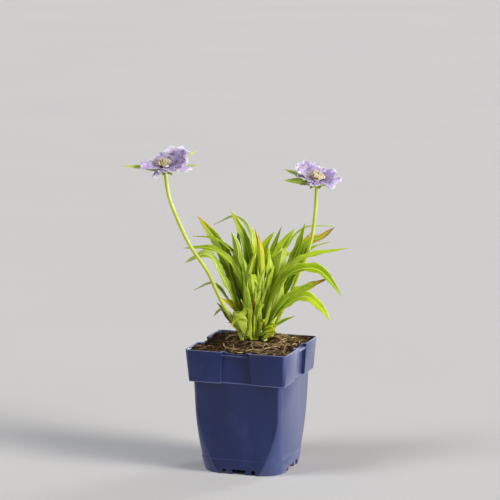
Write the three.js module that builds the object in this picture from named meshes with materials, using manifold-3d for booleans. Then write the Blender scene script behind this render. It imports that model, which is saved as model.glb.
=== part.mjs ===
// Potted pincushion flower (Scabiosa caucasica): a square nursery pot, the soil in it, five leafy
// shoots and two flower stems, each with its bracts, ray florets and centre florets.
// Units are millimetres, +Z is up, and the origin is the middle of the pot's underside.

import * as THREE from 'three';
import { mergeVertices } from 'three/addons/utils/BufferGeometryUtils.js';
import Module from 'manifold-3d';

// Driving dimensions of the pot
const POT_HEIGHT = 125;
const RIM_HALF = 52.5; // half the width across the rim's flat sides
const RIM_DRAFT = 2.6; // how much narrower the rim band is at its lower edge
const BAND_HEIGHT = 32;
const NECK_HALF = 46; // half-width of the body just under the band
const BASE_HALF = 41.5;
const WALL = 1.3;
const FLOOR = 1.5;
const RIM_CORNER = 3.5; // width cut off each corner of the rim
const BASE_CORNER = 21; // the same at the base, where the corners are broad facets
const FACET_HEIGHT = 62; // where a corner facet has narrowed to RIM_CORNER
const CORNER_STEPS = 4;
const CORNER_SWEEP = 34; // degrees each side of the diagonal that a corner bulges through
const SKIRT_HEIGHT = 15; // a fine step runs round the body at this height
const SKIRT_STEP = 0.5;

// The recess in the middle of each side of the band, and the lip across its top
const RECESS_TOP_WIDTH = 28;
const RECESS_LOW_WIDTH = 33;
const RECESS_DEPTH = 3.6;
const LIP_DROP = 3.4; // from the rim's edge down to the lip
const LIP_THICK = 1.2;
const SCALLOP_DIP = 2; // how far the rim's edge dips across the recess

// The drain pocket under the middle of each side
const POCKET_WIDTH = 35;
const POCKET_DEPTH = 11;
const POCKET_HEIGHT = 5;
const TOOTH_WIDTH = 6; // the wall left standing across the pocket's mouth
const SIDE_SLOT = 4.5;
const DRAIN_WIDTH = 13;

// Soil
const GAP = 0.3; // kept between touching pieces
const SLIVER = 0.5; // cubic millimetres
const SOIL_EDGE = 121.8;
const SOIL_DOME = 5.5;
const SOIL_CELLS = 12;
const SOIL_LUMP = 0.8;
const CROWN = [6, 8]; // the plant's middle, in the plant's own directions

// The plant is turned by this angle against the pot's sides
const PLANT_TURN = THREE.MathUtils.degToRad(18.5);

// Leaves
const LEAF_STEPS = 8;
const LEAF_THICK = 1.3;
const LEAF_FOLD = 0.3; // rise of the edges over the midrib, as a share of the half-width
const PETIOLE_SHARE = 0.36;
const CROWN_RADIUS = 3.4;
const CROWN_DEPTH = 9;

// Each shoot: where it stands, and its leaves. A leaf runs through the points of its path to its tip.
// roll, in degrees, turns its upper face towards the front of the plant.
const SHOOTS = {
  leaves_left: {
    at: [-3, 8],
    leaves: [
      { path: [[-17, 10, 182], [-30, 12, 217], [-40, 13, 233], [-54, 14, 251]], width: 13, roll: 75 },
      { path: [[-9, 3, 188], [-15, 1, 211], [-38, -1, 230], [-58, -2, 233]], width: 6, roll: 25 },
      { path: [[-9, -1, 179], [-22, -5, 208], [-40, -7, 221], [-68, -8, 222]], width: 9, roll: 40 },
      { path: [[-14, -2, 159], [-29, -9, 192], [-44, -14, 217], [-66, -17, 209]], width: 12, roll: 45 },
      { path: [[-14, 10, 150], [-27, 13, 170], [-39, 16, 182], [-58, 18, 175]], width: 5, roll: 20 },
      { path: [[-17, 5, 140], [-27, 2, 154], [-35, 0, 166]], width: 7, roll: 50 },
      { path: [[-16, 10, 142], [-28, 11, 157], [-38, 12, 150]], width: 4, roll: 30 },
      { path: [[-7, 1, 150], [-17, -3, 163], [-30, -6, 171]], width: 8, roll: 60 },
      { path: [[-5, 4, 168], [-12, 1, 195], [-14, -2, 222], [-20, -6, 238]], width: 12, roll: -70 },
      { path: [[-12, 14, 165], [-24, 22, 195], [-38, 30, 205]], width: 8, roll: 20 },
      { path: [[-10, 6, 170], [-20, 4, 200], [-26, 4, 226]], width: 10, roll: 60 },
    ],
  },
  leaves_front: {
    at: [3, -1],
    leaves: [
      { path: [[-6, -11, 148], [-12, -20, 163], [2, -27, 158]], width: 14, roll: -20 },
      { path: [[-4, -7, 155], [-5, -11, 180], [-1, -13, 205], [4, -14, 221]], width: 7, roll: 0 },
      { path: [[2, -10, 170], [0, -16, 197], [6, -26, 188]], width: 9, roll: 0 },
      { path: [[6, -5, 175], [9, -6, 200], [8, -7, 223], [3, -8, 242]], width: 8, roll: 0 },
      { path: [[8, -8, 165], [8, -12, 186], [13, -14, 204]], width: 7, roll: 0 },
      { path: [[5, -10, 150], [7, -26, 166], [8, -46, 160]], width: 8, roll: 0 },
      { path: [[13, -10, 138], [23, -19, 142]], width: 11, roll: 40 },
      { path: [[-5, -11, 148], [-13, -26, 157], [-20, -40, 147]], width: 7, roll: 0 },
      { path: [[-2, -5, 160], [-4, -9, 190], [-9, -14, 214]], width: 9, roll: -30 },
      { path: [[4, -7, 148], [4, -11, 166], [9, -15, 183]], width: 9, roll: 0 },
    ],
  },
  leaves_right: {
    at: [12, 1],
    leaves: [
      { path: [[18, -1, 172], [28, -3, 194], [50, -5, 211], [96, -7, 222]], width: 8, roll: 35 },
      {
        path: [[15, -3, 160], [28, -9, 187], [45, -15, 201], [66, -21, 202], [89, -28, 177]],
        width: 11,
        roll: 50,
      },
      { path: [[16, -5, 145], [30, -11, 168], [48, -15, 180], [75, -20, 194]], width: 10, roll: 55 },
      {
        path: [[17, -7, 143], [31, -16, 163], [52, -27, 177], [65, -33, 170], [77, -38, 155]],
        width: 11.5,
        roll: 50,
      },
      { path: [[20, -4, 140], [30, -7, 147], [43, -9, 154]], width: 5, roll: 30 },
      { path: [[19, 0, 165], [27, -1, 200], [30, -3, 222], [24, -10, 216]], width: 13, roll: -45 },
      { path: [[18, -6, 152], [26, -11, 172], [31, -13, 191]], width: 10, roll: -50 },
      { path: [[16, -2, 165], [19, -3, 195], [17, -4, 222]], width: 11, roll: 0 },
      { path: [[14, -2, 152], [17, -3, 175], [22, -6, 204]], width: 10, roll: 0 },
    ],
  },
  leaves_back_right: {
    at: [14, 13],
    leaves: [
      { path: [[18, 12, 172], [24, 11, 203], [31, 12, 222], [43, 13, 238]], width: 14, roll: 80 },
      { path: [[25, 11, 165], [38, 11, 197], [47, 11, 222], [53, 11, 244]], width: 10, roll: 65 },
      { path: [[26, 20, 185], [38, 23, 222], [54, 26, 237], [81, 29, 238]], width: 5, roll: 10 },
      { path: [[28, 18, 172], [44, 20, 212], [60, 22, 234]], width: 7, roll: 60 },
      {
        path: [[29, 15, 166], [46, 17, 201], [58, 18, 224], [70, 18, 229], [83, 18, 239]],
        width: 11,
        roll: 65,
      },
      { path: [[30, 12, 162], [50, 13, 203], [60, 13, 218], [79, 13, 225]], width: 6, roll: 30 },
      { path: [[24, 26, 180], [36, 38, 208], [54, 52, 196]], width: 9, roll: 0 },
      { path: [[22, 24, 150], [34, 40, 176], [44, 56, 186]], width: 8, roll: 0 },
      { path: [[18, 26, 165], [24, 44, 188], [28, 66, 176]], width: 8, roll: 0 },
    ],
  },
  leaves_back: {
    at: [5, 19],
    leaves: [
      { path: [[0, 18, 190], [-7, 18, 226], [-14, 19, 242], [-22, 20, 257]], width: 10, roll: 75 },
      { path: [[2, 22, 200], [-4, 24, 236], [-16, 26, 248], [-38, 26, 240]], width: 5, roll: 20 },
      { path: [[4, 16, 185], [3, 14, 215], [-1, 14, 241]], width: 11, roll: 80 },
      { path: [[7, 16, 180], [10, 14, 207], [14, 14, 222], [23, 15, 235]], width: 12, roll: 80 },
      { path: [[9, 20, 180], [20, 23, 212], [30, 25, 239]], width: 7, roll: 60 },
      { path: [[2, 32, 180], [-4, 48, 204], [-12, 62, 186]], width: 9, roll: 0 },
      { path: [[-3, 30, 165], [-14, 46, 190], [-26, 60, 184]], width: 8, roll: 0 },
      { path: [[7, 34, 155], [10, 56, 178], [14, 76, 158]], width: 8, roll: 0 },
      { path: [[-2, 28, 142], [-10, 44, 160], [-16, 58, 158]], width: 7, roll: 0 },
      { path: [[6, 30, 145], [4, 42, 162], [2, 54, 162]], width: 7, roll: 0 },
      { path: [[-4, 20, 170], [-12, 20, 205], [-14, 20, 236]], width: 9, roll: 75 },
    ],
  },
};

// Flower stems: points along each one, from under the soil to the head
const STEM_RADIUS = 1.9;
const STEM_TOP_RADIUS = 1.6;
const STEM_SIDES = 8;
const STEM_STEPS = 16;

// A head's own parts, stacked on the stem
const CUP_RADIUS = 5.2;
const CUP_HEIGHT = 4.2;
const RING_HEIGHT = 2;
const DOME_RADIUS = 6;
const DOME_HEIGHT = 4.6;
const RAY_THICK = 0.7;
const RAY_STEPS = 3;
const RAY_OUTLINE = [0.8, 0.94, 0.87, 1, 0.87, 0.94, 0.8]; // its three lobes
const RAY_WAVE = 0.1; // height of a petal's waves, as a share of its length
const BRACT_STEPS = 6;
const BRACT_THICK = 1.1;

// Bracts and rays: around is the compass direction, lift the angle above level, in degrees, and
// droop how far a tip hangs below that line
const FLOWERS = {
  left: {
    stem: [
      [-7, -1, 116],
      [-12, -5, 136],
      [-29.5, -15, 169],
      [-44, -22, 202],
      [-60.8, -25, 228],
      [-73, -24, 254],
      [-81.2, -22, 276],
      [-84.4, -20, 297],
    ],
    bracts: [
      { around: 182, lift: 11, length: 42, width: 5.5, roll: 45 },
      { around: 3, lift: 15, length: 33, width: 6, roll: 40 },
      { around: 34, lift: 30, length: 42, width: 5, roll: 50 },
      { around: 77, lift: 35, length: 43, width: 5, roll: 50 },
      { around: 128, lift: 16, length: 24, width: 6, roll: 20 },
      { around: 222, lift: 3, length: 15, width: 6, roll: 0 },
      { around: 262, lift: 1, length: 12, width: 6, roll: 0 },
      { around: 300, lift: 2, length: 14, width: 6, roll: 0 },
    ],
    rays: [
      { around: 88, lift: 52, length: 19, width: 17, droop: 1 },
      { around: 56, lift: 43, length: 27, width: 20, droop: 0 },
      { around: 22, lift: 43, length: 27, width: 19, droop: 1 },
      { around: 352, lift: 29, length: 21, width: 17, droop: 1 },
      { around: 326, lift: 12, length: 25, width: 15, droop: 5 },
      { around: 290, lift: 10, length: 13, width: 11, droop: 3 },
      { around: 258, lift: 8, length: 11, width: 10, droop: 3 },
      { around: 236, lift: 14, length: 12, width: 7, droop: 10 },
      { around: 204, lift: 12, length: 23, width: 15, droop: 3 },
      { around: 174, lift: 20, length: 22, width: 12, droop: 3 },
      { around: 144, lift: 36, length: 14, width: 13, droop: 2 },
      { around: 116, lift: 44, length: 17, width: 14, droop: 1 },
    ],
  },
  right: {
    stem: [
      [19, 7, 116],
      [20, 7, 132],
      [28, 6.5, 151],
      [38.5, 6, 173],
      [47, 6, 194],
      [55, 6, 213],
      [59.7, 6, 231],
      [63, 6, 258],
      [64, 6, 280],
    ],
    bracts: [
      { around: 168, lift: 28, length: 38, width: 7, roll: 35 },
      { around: 188, lift: 13, length: 34, width: 8, roll: 50 },
      { around: 130, lift: 26, length: 24, width: 6, roll: 20 },
      { around: 88, lift: 28, length: 20, width: 6, roll: 20 },
      { around: 40, lift: 14, length: 16, width: 6, roll: 20 },
      { around: 8, lift: 4, length: 14, width: 6, roll: 0 },
      { around: 284, lift: 0, length: 11, width: 6, roll: 0 },
      { around: 240, lift: 2, length: 13, width: 6, roll: 0 },
    ],
    rays: [
      { around: 214, lift: 26, length: 19, width: 16, droop: 2 },
      { around: 184, lift: 41, length: 24, width: 20, droop: 1 },
      { around: 150, lift: 50, length: 25, width: 20, droop: 1 },
      { around: 112, lift: 54, length: 22, width: 15, droop: 0 },
      { around: 78, lift: 46, length: 19, width: 12, droop: 1 },
      { around: 46, lift: 30, length: 19, width: 13, droop: 1 },
      { around: 18, lift: 37, length: 20, width: 15, droop: 1 },
      { around: 350, lift: 18, length: 22, width: 13, droop: 4 },
      { around: 320, lift: 12, length: 16, width: 12, droop: 8 },
      { around: 276, lift: 8, length: 11, width: 9, droop: 3 },
      { around: 244, lift: 10, length: 13, width: 10, droop: 3 },
    ],
  },
};
const FLORETS = 17;
const FLORET_SIDES = 5;

const wasm = await Module();
wasm.setup();

const up = new THREE.Vector3(0, 0, 1);
const vec = (p) => new THREE.Vector3(...p);
const mix = (a, b, t) => a + (b - a) * t;
const smooth = (t) => t * t * (3 - 2 * t);
const clamp = (t) => Math.min(1, Math.max(0, t));
const radians = THREE.MathUtils.degToRad;

// The fractions of a golden turn: even, and never repeating
function spread(index, offset = 0) {
  const turn = index * 0.6180339887 + offset;
  return turn - Math.floor(turn);
}

// A closed BufferGeometry as a solid that can be joined and cut
function solidOf(geometry) {
  const plain = new THREE.BufferGeometry();
  plain.setAttribute('position', geometry.getAttribute('position'));
  if (geometry.index) plain.setIndex(geometry.index);
  const merged = mergeVertices(plain, 1e-4);
  const build = (triVerts) =>
    new wasm.Manifold(
      new wasm.Mesh({ numProp: 3, vertProperties: merged.attributes.position.array, triVerts }),
    );
  const triangles = new Uint32Array(merged.index.array);
  const made = build(triangles);
  if (made.volume() > 0) return made;
  for (let i = 0; i < triangles.length; i += 3) {
    [triangles[i + 1], triangles[i + 2]] = [triangles[i + 2], triangles[i + 1]];
  }
  return build(triangles);
}

const joined = (solids) => solids.reduce((sum, next) => sum.add(next));

// The body of a solid, without any sliver that a cut left loose. A larger loose piece is a fault.
function mainBody(name, solid) {
  const bodies = solid.decompose().sort((a, b) => b.volume() - a.volume());
  const loose = bodies.slice(1).find((body) => body.volume() > SLIVER);
  if (loose) throw new Error(`${name} has a loose piece of ${loose.volume().toFixed(2)} mm3`);
  return bodies[0];
}

function meshOf(name, solid, material) {
  const made = mainBody(name, solid).getMesh();
  const points = new Float32Array(made.numVert * 3);
  for (let i = 0; i < made.numVert; i++) {
    points.set(made.vertProperties.subarray(i * made.numProp, i * made.numProp + 3), i * 3);
  }
  const geometry = new THREE.BufferGeometry();
  geometry.setAttribute('position', new THREE.BufferAttribute(points, 3));
  geometry.setIndex(new THREE.BufferAttribute(made.triVerts, 1));
  geometry.computeVertexNormals();
  const mesh = new THREE.Mesh(geometry, material);
  mesh.name = name;
  return mesh;
}

// A closed surface through rings of equal count, fanned shut at both ends
function loft(rings) {
  const count = rings[0].length;
  const points = rings.flat();
  const faces = [];
  for (let r = 0; r + 1 < rings.length; r++) {
    for (let i = 0; i < count; i++) {
      const a = r * count + i;
      const b = r * count + ((i + 1) % count);
      faces.push(a, b, b + count, a, b + count, a + count);
    }
  }
  for (let i = 1; i + 1 < count; i++) {
    const last = (rings.length - 1) * count;
    faces.push(0, i + 1, i, last, last + i, last + i + 1);
  }
  return geometryOf(points, faces);
}

function geometryOf(points, faces) {
  const geometry = new THREE.BufferGeometry();
  const numbers = points.flatMap((point) => point.toArray());
  geometry.setAttribute('position', new THREE.Float32BufferAttribute(numbers, 3));
  geometry.setIndex(faces);
  return geometry;
}

function boxSolid(low, high) {
  const size = high.map((v, i) => v - low[i]);
  const box = new THREE.BoxGeometry(...size);
  box.translate(...low.map((v, i) => v + size[i] / 2));
  return solidOf(box);
}

// The four sides of the pot, as quarter turns
const onEachSide = (make) => [0, 1, 2, 3].map((side) => make().rotate([0, 0, side * 90]));

// A square ring with its corners cut off by bulging facets
function squareRing(half, corner, z) {
  const sweep = radians(CORNER_SWEEP);
  const radius = corner / Math.SQRT2 / Math.sin(sweep);
  const middle = half - corner / 2 - (radius * Math.cos(sweep)) / Math.SQRT2;
  const ring = [];
  for (let quarter = 0; quarter < 4; quarter++) {
    for (let i = 0; i <= CORNER_STEPS; i++) {
      const angle = Math.PI / 4 + mix(-sweep, sweep, i / CORNER_STEPS);
      const point = new THREE.Vector3(
        middle + radius * Math.cos(angle),
        middle + radius * Math.sin(angle),
        z,
      );
      ring.push(point.applyAxisAngle(up, (quarter * Math.PI) / 2));
    }
  }
  return ring;
}

const neckHeight = POT_HEIGHT - BAND_HEIGHT;
const bodyHalf = (z) => BASE_HALF + (NECK_HALF - BASE_HALF) * (clamp(z / neckHeight)) ** 0.75;
const bodyCorner = (z) => RIM_CORNER + (BASE_CORNER - RIM_CORNER) * clamp(1 - z / FACET_HEIGHT) ** 1.6;
const rimHalf = (z) => RIM_HALF - (RIM_DRAFT * (POT_HEIGHT - z)) / BAND_HEIGHT;

const BODY_LEVELS = [0, 4, 8, 14.6, 15, 22, 30, 38, 46, 54, 62, neckHeight];

// The pot's outline at a height, drawn in by inset; the skirt's step is on the outside only
function bodyRing(z, inset) {
  const skirt = inset === 0 && z < SKIRT_HEIGHT ? SKIRT_STEP : 0;
  return squareRing(bodyHalf(z) + skirt - inset, Math.max(bodyCorner(z) - inset / 2, 1), z);
}

function rimSolid(low, high, inset) {
  const ring = (z) => squareRing(rimHalf(z) - inset, RIM_CORNER - inset / 2, z);
  return solidOf(loft([ring(low), ring(high)]));
}

// What fills the pot: the room inside its walls, drawn in by a clearance, up to a height
function innerSolid(clearance, top) {
  const inset = WALL + clearance;
  const low = FLOOR + clearance;
  const levels = [low, ...BODY_LEVELS.filter((z, i) => z > low + 1 && i % 2 === 1)];
  const body = solidOf(loft(levels.map((z) => bodyRing(z, inset))));
  const shoulder = neckHeight + WALL;
  const neckTop = squareRing(bodyHalf(neckHeight) - inset, RIM_CORNER, shoulder + 1);
  const neck = solidOf(loft([bodyRing(neckHeight, inset), neckTop]));
  const rim = rimSolid(shoulder + clearance, top, inset);
  const intruders = onEachSide(() => recessSolid(WALL + clearance)).concat(
    onEachSide(() => pocketSolid(WALL + clearance)),
  );
  return joined([body, neck, rim]).subtract(joined(intruders));
}

// The recess as a block to take out of the band, grown by a wall for the side facing the soil
function recessSolid(grow) {
  const depth = RIM_HALF - RECESS_DEPTH - grow;
  const outside = RIM_HALF + 5;
  const low = neckHeight - grow;
  const high = POT_HEIGHT + 1 + grow;
  const slab = (half, z, back) => [
    new THREE.Vector3(-half - grow, -outside, z),
    new THREE.Vector3(half + grow, -outside, z),
    new THREE.Vector3(half + grow, -back, z),
    new THREE.Vector3(-half - grow, -back, z),
  ];
  const back = depth - RIM_DRAFT;
  return solidOf(
    loft([slab(RECESS_LOW_WIDTH / 2, low, back), slab(RECESS_TOP_WIDTH / 2, high, depth)]),
  );
}

// The lip that crosses the recess, bowed out a little at its middle
function lipSolid() {
  const half = RECESS_TOP_WIDTH / 2 + 0.4;
  const back = RIM_HALF - RECESS_DEPTH - WALL / 2;
  const front = RIM_HALF - 0.6;
  const outline = new THREE.Shape();
  outline.moveTo(-half, -back);
  outline.lineTo(-half, -front);
  outline.quadraticCurveTo(0, -front - 1.2, half, -front);
  outline.lineTo(half, -back);
  const lip = new THREE.ExtrudeGeometry(outline, {
    depth: LIP_THICK,
    bevelEnabled: false,
    curveSegments: 6,
  });
  lip.translate(0, 0, POT_HEIGHT - LIP_DROP - LIP_THICK);
  return solidOf(lip);
}

// Takes a shallow dip out of the rim's edge over the recess
function scallopSolid() {
  const half = RECESS_TOP_WIDTH / 2 - 2;
  const radius = (half * half + SCALLOP_DIP * SCALLOP_DIP) / (2 * SCALLOP_DIP);
  const cutter = new THREE.CylinderGeometry(radius, radius, 12, 96);
  cutter.translate(0, -RIM_HALF, 0);
  return solidOf(cutter.translate(0, 0, POT_HEIGHT + radius - SCALLOP_DIP));
}

// The drain pocket under one side, grown by a wall for the side facing the soil
function pocketSolid(grow) {
  const inner = BASE_HALF - POCKET_DEPTH - grow;
  return boxSolid(
    [-POCKET_WIDTH / 2 - grow, -RIM_HALF, -1],
    [POCKET_WIDTH / 2 + grow, -inner, POCKET_HEIGHT + grow],
  );
}

// The two teeth that stay across the pocket's mouth, flush with the wall
function toothSolids() {
  const start = POCKET_WIDTH / 2 - SIDE_SLOT - TOOTH_WIDTH;
  const outer = BASE_HALF + SKIRT_STEP - 0.1;
  return [-1, 1].map((side) => {
    const edges = [side * start, side * (start + TOOTH_WIDTH)].sort((a, b) => a - b);
    return boxSolid([edges[0], -outer, 0.4], [edges[1], WALL - outer, POCKET_HEIGHT + 0.5]);
  });
}

function drainSolid() {
  return boxSolid(
    [-DRAIN_WIDTH / 2, -BASE_HALF + 3, 1.2],
    [DRAIN_WIDTH / 2, -BASE_HALF + POCKET_DEPTH + 4, POCKET_HEIGHT - 1],
  );
}

function potSolid() {
  const body = solidOf(loft(BODY_LEVELS.map((z) => bodyRing(z, 0))));
  const band = rimSolid(neckHeight, POT_HEIGHT, 0);
  const room = innerSolid(0, POT_HEIGHT + 2);
  return body
    .add(band)
    .subtract(room)
    .subtract(joined(onEachSide(() => recessSolid(0))))
    .subtract(joined(onEachSide(scallopSolid)))
    .add(joined(onEachSide(lipSolid)))
    .subtract(joined(onEachSide(() => pocketSolid(0))))
    .add(joined(onEachSide(() => joined(toothSolids()))))
    .subtract(joined(onEachSide(drainSolid)));
}

// Low lumps of soil, the same wherever they are asked for
function lump(x, y) {
  let sum = 0;
  for (let i = 1; i <= 6; i++) {
    const heading = i * 2.4;
    const along = x * Math.cos(heading) + y * Math.sin(heading);
    sum += Math.sin(along * (0.09 + 0.06 * i) + i * i) / (1 + 0.25 * i);
  }
  return sum;
}

function soilHeight(x, y) {
  const from = Math.hypot(x - CROWN[0] * 0.7, y - CROWN[1] * 0.7) / RIM_HALF;
  return SOIL_EDGE + SOIL_DOME * smooth(clamp(1.08 - from)) + SOIL_LUMP * lump(x, y);
}

// A block whose top follows the lumps, later cut to the inside of the pot
function soilBlock() {
  const points = [];
  const faces = [];
  const side = SOIL_CELLS + 1;
  for (let j = 0; j < side; j++) {
    for (let i = 0; i < side; i++) {
      const x = mix(-RIM_HALF, RIM_HALF, i / SOIL_CELLS);
      const y = mix(-RIM_HALF, RIM_HALF, j / SOIL_CELLS);
      points.push(new THREE.Vector3(x, y, soilHeight(x, y)));
    }
  }
  for (let j = 0; j < SOIL_CELLS; j++) {
    for (let i = 0; i < SOIL_CELLS; i++) {
      const a = j * side + i;
      faces.push(a, a + 1, a + side + 1, a, a + side + 1, a + side);
    }
  }
  const edge = [];
  for (let i = 0; i < SOIL_CELLS; i++) edge.push(i);
  for (let j = 0; j < SOIL_CELLS; j++) edge.push(j * side + SOIL_CELLS);
  for (let i = SOIL_CELLS; i > 0; i--) edge.push(SOIL_CELLS * side + i);
  for (let j = SOIL_CELLS; j > 0; j--) edge.push(j * side);
  const low = points.length;
  edge.forEach((at) => points.push(new THREE.Vector3(points[at].x, points[at].y, 0)));
  edge.forEach((at, i) => {
    const next = (i + 1) % edge.length;
    faces.push(at, low + i, low + next, at, low + next, edge[next]);
    if (i > 0 && i + 1 < edge.length) faces.push(low, low + next, low + i);
  });
  return solidOf(geometryOf(points, faces));
}

// Pale roots that lie on the soil, half sunk, each a bent line
const ROOTS = 8;
const ROOT_RADIUS = 0.8;

function rootSolid(index) {
  const heading = spread(index, 0.2) * Math.PI * 2;
  const out = mix(18, 36, spread(index * 3, 0.1));
  const length = mix(14, 26, spread(index * 5, 0.4));
  const turn = heading + mix(0.7, 2.2, spread(index * 7, 0.3));
  const start = [out * Math.cos(heading), out * Math.sin(heading)];
  const reach = [length * Math.cos(turn), length * Math.sin(turn)];
  const bow = mix(-0.4, 0.4, spread(index * 11));
  const path = [];
  for (let i = 0; i <= 5; i++) {
    const t = i / 5 - 0.5;
    const swing = bow * (1 - 4 * t * t);
    const x = start[0] + reach[0] * t - reach[1] * swing;
    const y = start[1] + reach[1] * t + reach[0] * swing;
    const half = RIM_HALF - WALL - 5;
    const z = soilHeight(x, y) + ROOT_RADIUS * 0.3;
    if (Math.max(Math.abs(x), Math.abs(y)) < half) path.push([x, y, z]);
  }
  if (path.length < 3) return null;
  return tubeSolid(path.map(vec), path.map(() => ROOT_RADIUS), 4);
}

function soilSolid(holes) {
  const top = SOIL_EDGE + SOIL_DOME + 8;
  const roots = [];
  for (let i = 0; i < ROOTS; i++) {
    const root = rootSolid(i);
    if (root) roots.push(root);
  }
  return soilBlock()
    .intersect(innerSolid(GAP, top))
    .add(joined(roots))
    .subtract(joined(holes));
}

// A tube through points, one radius for each
function tubeSolid(points, radii, sides) {
  const curve = new THREE.CatmullRomCurve3(points, false, 'centripetal');
  const steps = Math.max(points.length - 1, STEM_STEPS * (sides > 4 ? 1 : 0));
  const frames = curve.computeFrenetFrames(steps, false);
  const rings = [];
  for (let i = 0; i <= steps; i++) {
    const t = i / steps;
    const centre = curve.getPointAt(t);
    const scale = t * (radii.length - 1);
    const low = Math.min(Math.floor(scale), radii.length - 2);
    const radius = mix(radii[low], radii[low + 1], scale - low);
    const ring = [];
    for (let k = 0; k < sides; k++) {
      const angle = (k / sides) * Math.PI * 2;
      ring.push(
        centre
          .clone()
          .addScaledVector(frames.normals[i], radius * Math.cos(angle))
          .addScaledVector(frames.binormals[i], radius * Math.sin(angle)),
      );
    }
    rings.push(ring);
  }
  return solidOf(loft(rings));
}

// Half-width along a leaf, as a share of its widest: a long petiole, a broad middle, a drawn-out tip
function leafShare(t) {
  const widest = 0.62;
  if (t < widest) return mix(PETIOLE_SHARE, 1, smooth(clamp((t - 0.08) / (widest - 0.08))));
  return Math.cos(((t - widest) / (1 - widest)) * (Math.PI / 2)) ** 0.85;
}

// The same for a bract, which is widest nearer its base
function bractShare(t) {
  const widest = 0.35;
  if (t < widest) return mix(0.55, 1, smooth(t / widest));
  return Math.cos(((t - widest) / (1 - widest)) * (Math.PI / 2)) ** 0.9;
}

// A folded blade along a bend through points, from its base to its tip
function bladeSolid({ points: through, width, roll, share, thick, steps }) {
  const curve = new THREE.CatmullRomCurve3(through, false, 'centripetal');
  const tip = through.at(-1);
  const heading = Math.atan2(tip.y - through[0].y, tip.x - through[0].x);
  const flat = new THREE.Vector3(-Math.sin(heading), Math.cos(heading), 0);
  const turn = radians(roll) * (Math.cos(heading) > 0 ? 1 : -1);
  const rings = [];
  for (let i = 0; i < steps; i++) {
    const t = i / steps;
    const along = curve.getTangentAt(t);
    const side = flat.clone().addScaledVector(along, -flat.dot(along)).normalize();
    side.applyAxisAngle(along, turn * mix(0.55, 1, smooth(clamp(t * 2))));
    const normal = new THREE.Vector3().crossVectors(along, side);
    const centre = curve.getPointAt(t);
    const half = (width / 2) * share(t);
    const rise = half * LEAF_FOLD;
    const depth = (thick / 2) * mix(1.25, 0.7, t);
    rings.push([
      centre.clone().addScaledVector(side, -half).addScaledVector(normal, rise),
      centre.clone().addScaledVector(normal, depth),
      centre.clone().addScaledVector(side, half).addScaledVector(normal, rise),
      centre.clone().addScaledVector(normal, -depth),
    ]);
  }
  const points = rings.flat();
  const faces = [0, 1, 2, 0, 2, 3];
  for (let r = 0; r + 1 < rings.length; r++) {
    for (let i = 0; i < 4; i++) {
      const a = r * 4 + i;
      const b = r * 4 + ((i + 1) % 4);
      if (i % 2) faces.push(a, b + 4, b, a, a + 4, b + 4);
      else faces.push(a, a + 4, b, b, a + 4, b + 4);
    }
  }
  const last = (rings.length - 1) * 4;
  points.push(tip.clone());
  for (let i = 0; i < 4; i++) faces.push(last + i, points.length - 1, last + ((i + 1) % 4));
  return solidOf(geometryOf(points, faces));
}

// The soil height under a point given in the plant's own directions
function soilUnder(x, y) {
  const c = Math.cos(PLANT_TURN);
  const s = Math.sin(PLANT_TURN);
  return soilHeight(x * c - y * s, x * s + y * c);
}

function crownSolid([x, y], grow) {
  const ground = soilUnder(x, y);
  const crown = new THREE.CylinderGeometry(
    CROWN_RADIUS * 0.75 + grow,
    CROWN_RADIUS + grow,
    CROWN_DEPTH + 4 + grow,
    8,
  );
  crown.rotateX(Math.PI / 2);
  crown.translate(x, y, ground - CROWN_DEPTH / 2 + 2 - grow / 2);
  return solidOf(crown);
}

function shootSolid({ at, leaves }) {
  const ground = soilUnder(...at);
  const blades = leaves.map((leaf) => {
    const path = leaf.path.map(vec);
    const outward = new THREE.Vector3(path[0].x - at[0], path[0].y - at[1], 0).normalize();
    const base = new THREE.Vector3(at[0], at[1], ground + 2);
    base.addScaledVector(outward, CROWN_RADIUS * 0.35);
    return bladeSolid({
      points: [base, ...path],
      width: leaf.width,
      roll: leaf.roll,
      share: leafShare,
      thick: LEAF_THICK,
      steps: LEAF_STEPS,
    });
  });
  return joined([crownSolid(at, 0), ...blades]);
}

function stemSolid(points, grow) {
  const radii = points.map((_, i) => mix(STEM_RADIUS, STEM_TOP_RADIUS, i / (points.length - 1)) + grow);
  return tubeSolid(points.map(vec), radii, STEM_SIDES);
}

// A direction from its compass bearing and its angle above level
function direction(around, lift) {
  const level = Math.cos(radians(lift));
  return new THREE.Vector3(
    level * Math.cos(radians(around)),
    level * Math.sin(radians(around)),
    Math.sin(radians(lift)),
  );
}

const turned = (geometry) => geometry.rotateX(Math.PI / 2);

function bractsSolid({ bracts }, top) {
  const cup = turned(new THREE.CylinderGeometry(CUP_RADIUS, STEM_TOP_RADIUS, CUP_HEIGHT, 12));
  cup.translate(top.x, top.y, top.z + CUP_HEIGHT / 2);
  const blades = bracts.map(({ around, lift, length, width, roll }) => {
    const root = direction(around, 0).multiplyScalar(CUP_RADIUS * 0.55);
    const base = top.clone().add(root).add(new THREE.Vector3(0, 0, CUP_HEIGHT * 0.4));
    const tip = top.clone().addScaledVector(direction(around, lift), length);
    const middle = base.clone().lerp(tip, 0.5);
    middle.z += length * 0.04;
    return bladeSolid({
      points: [base, middle, tip],
      width,
      roll,
      share: bractShare,
      thick: BRACT_THICK,
      steps: BRACT_STEPS,
    });
  });
  return joined([solidOf(cup), ...blades]);
}

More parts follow.
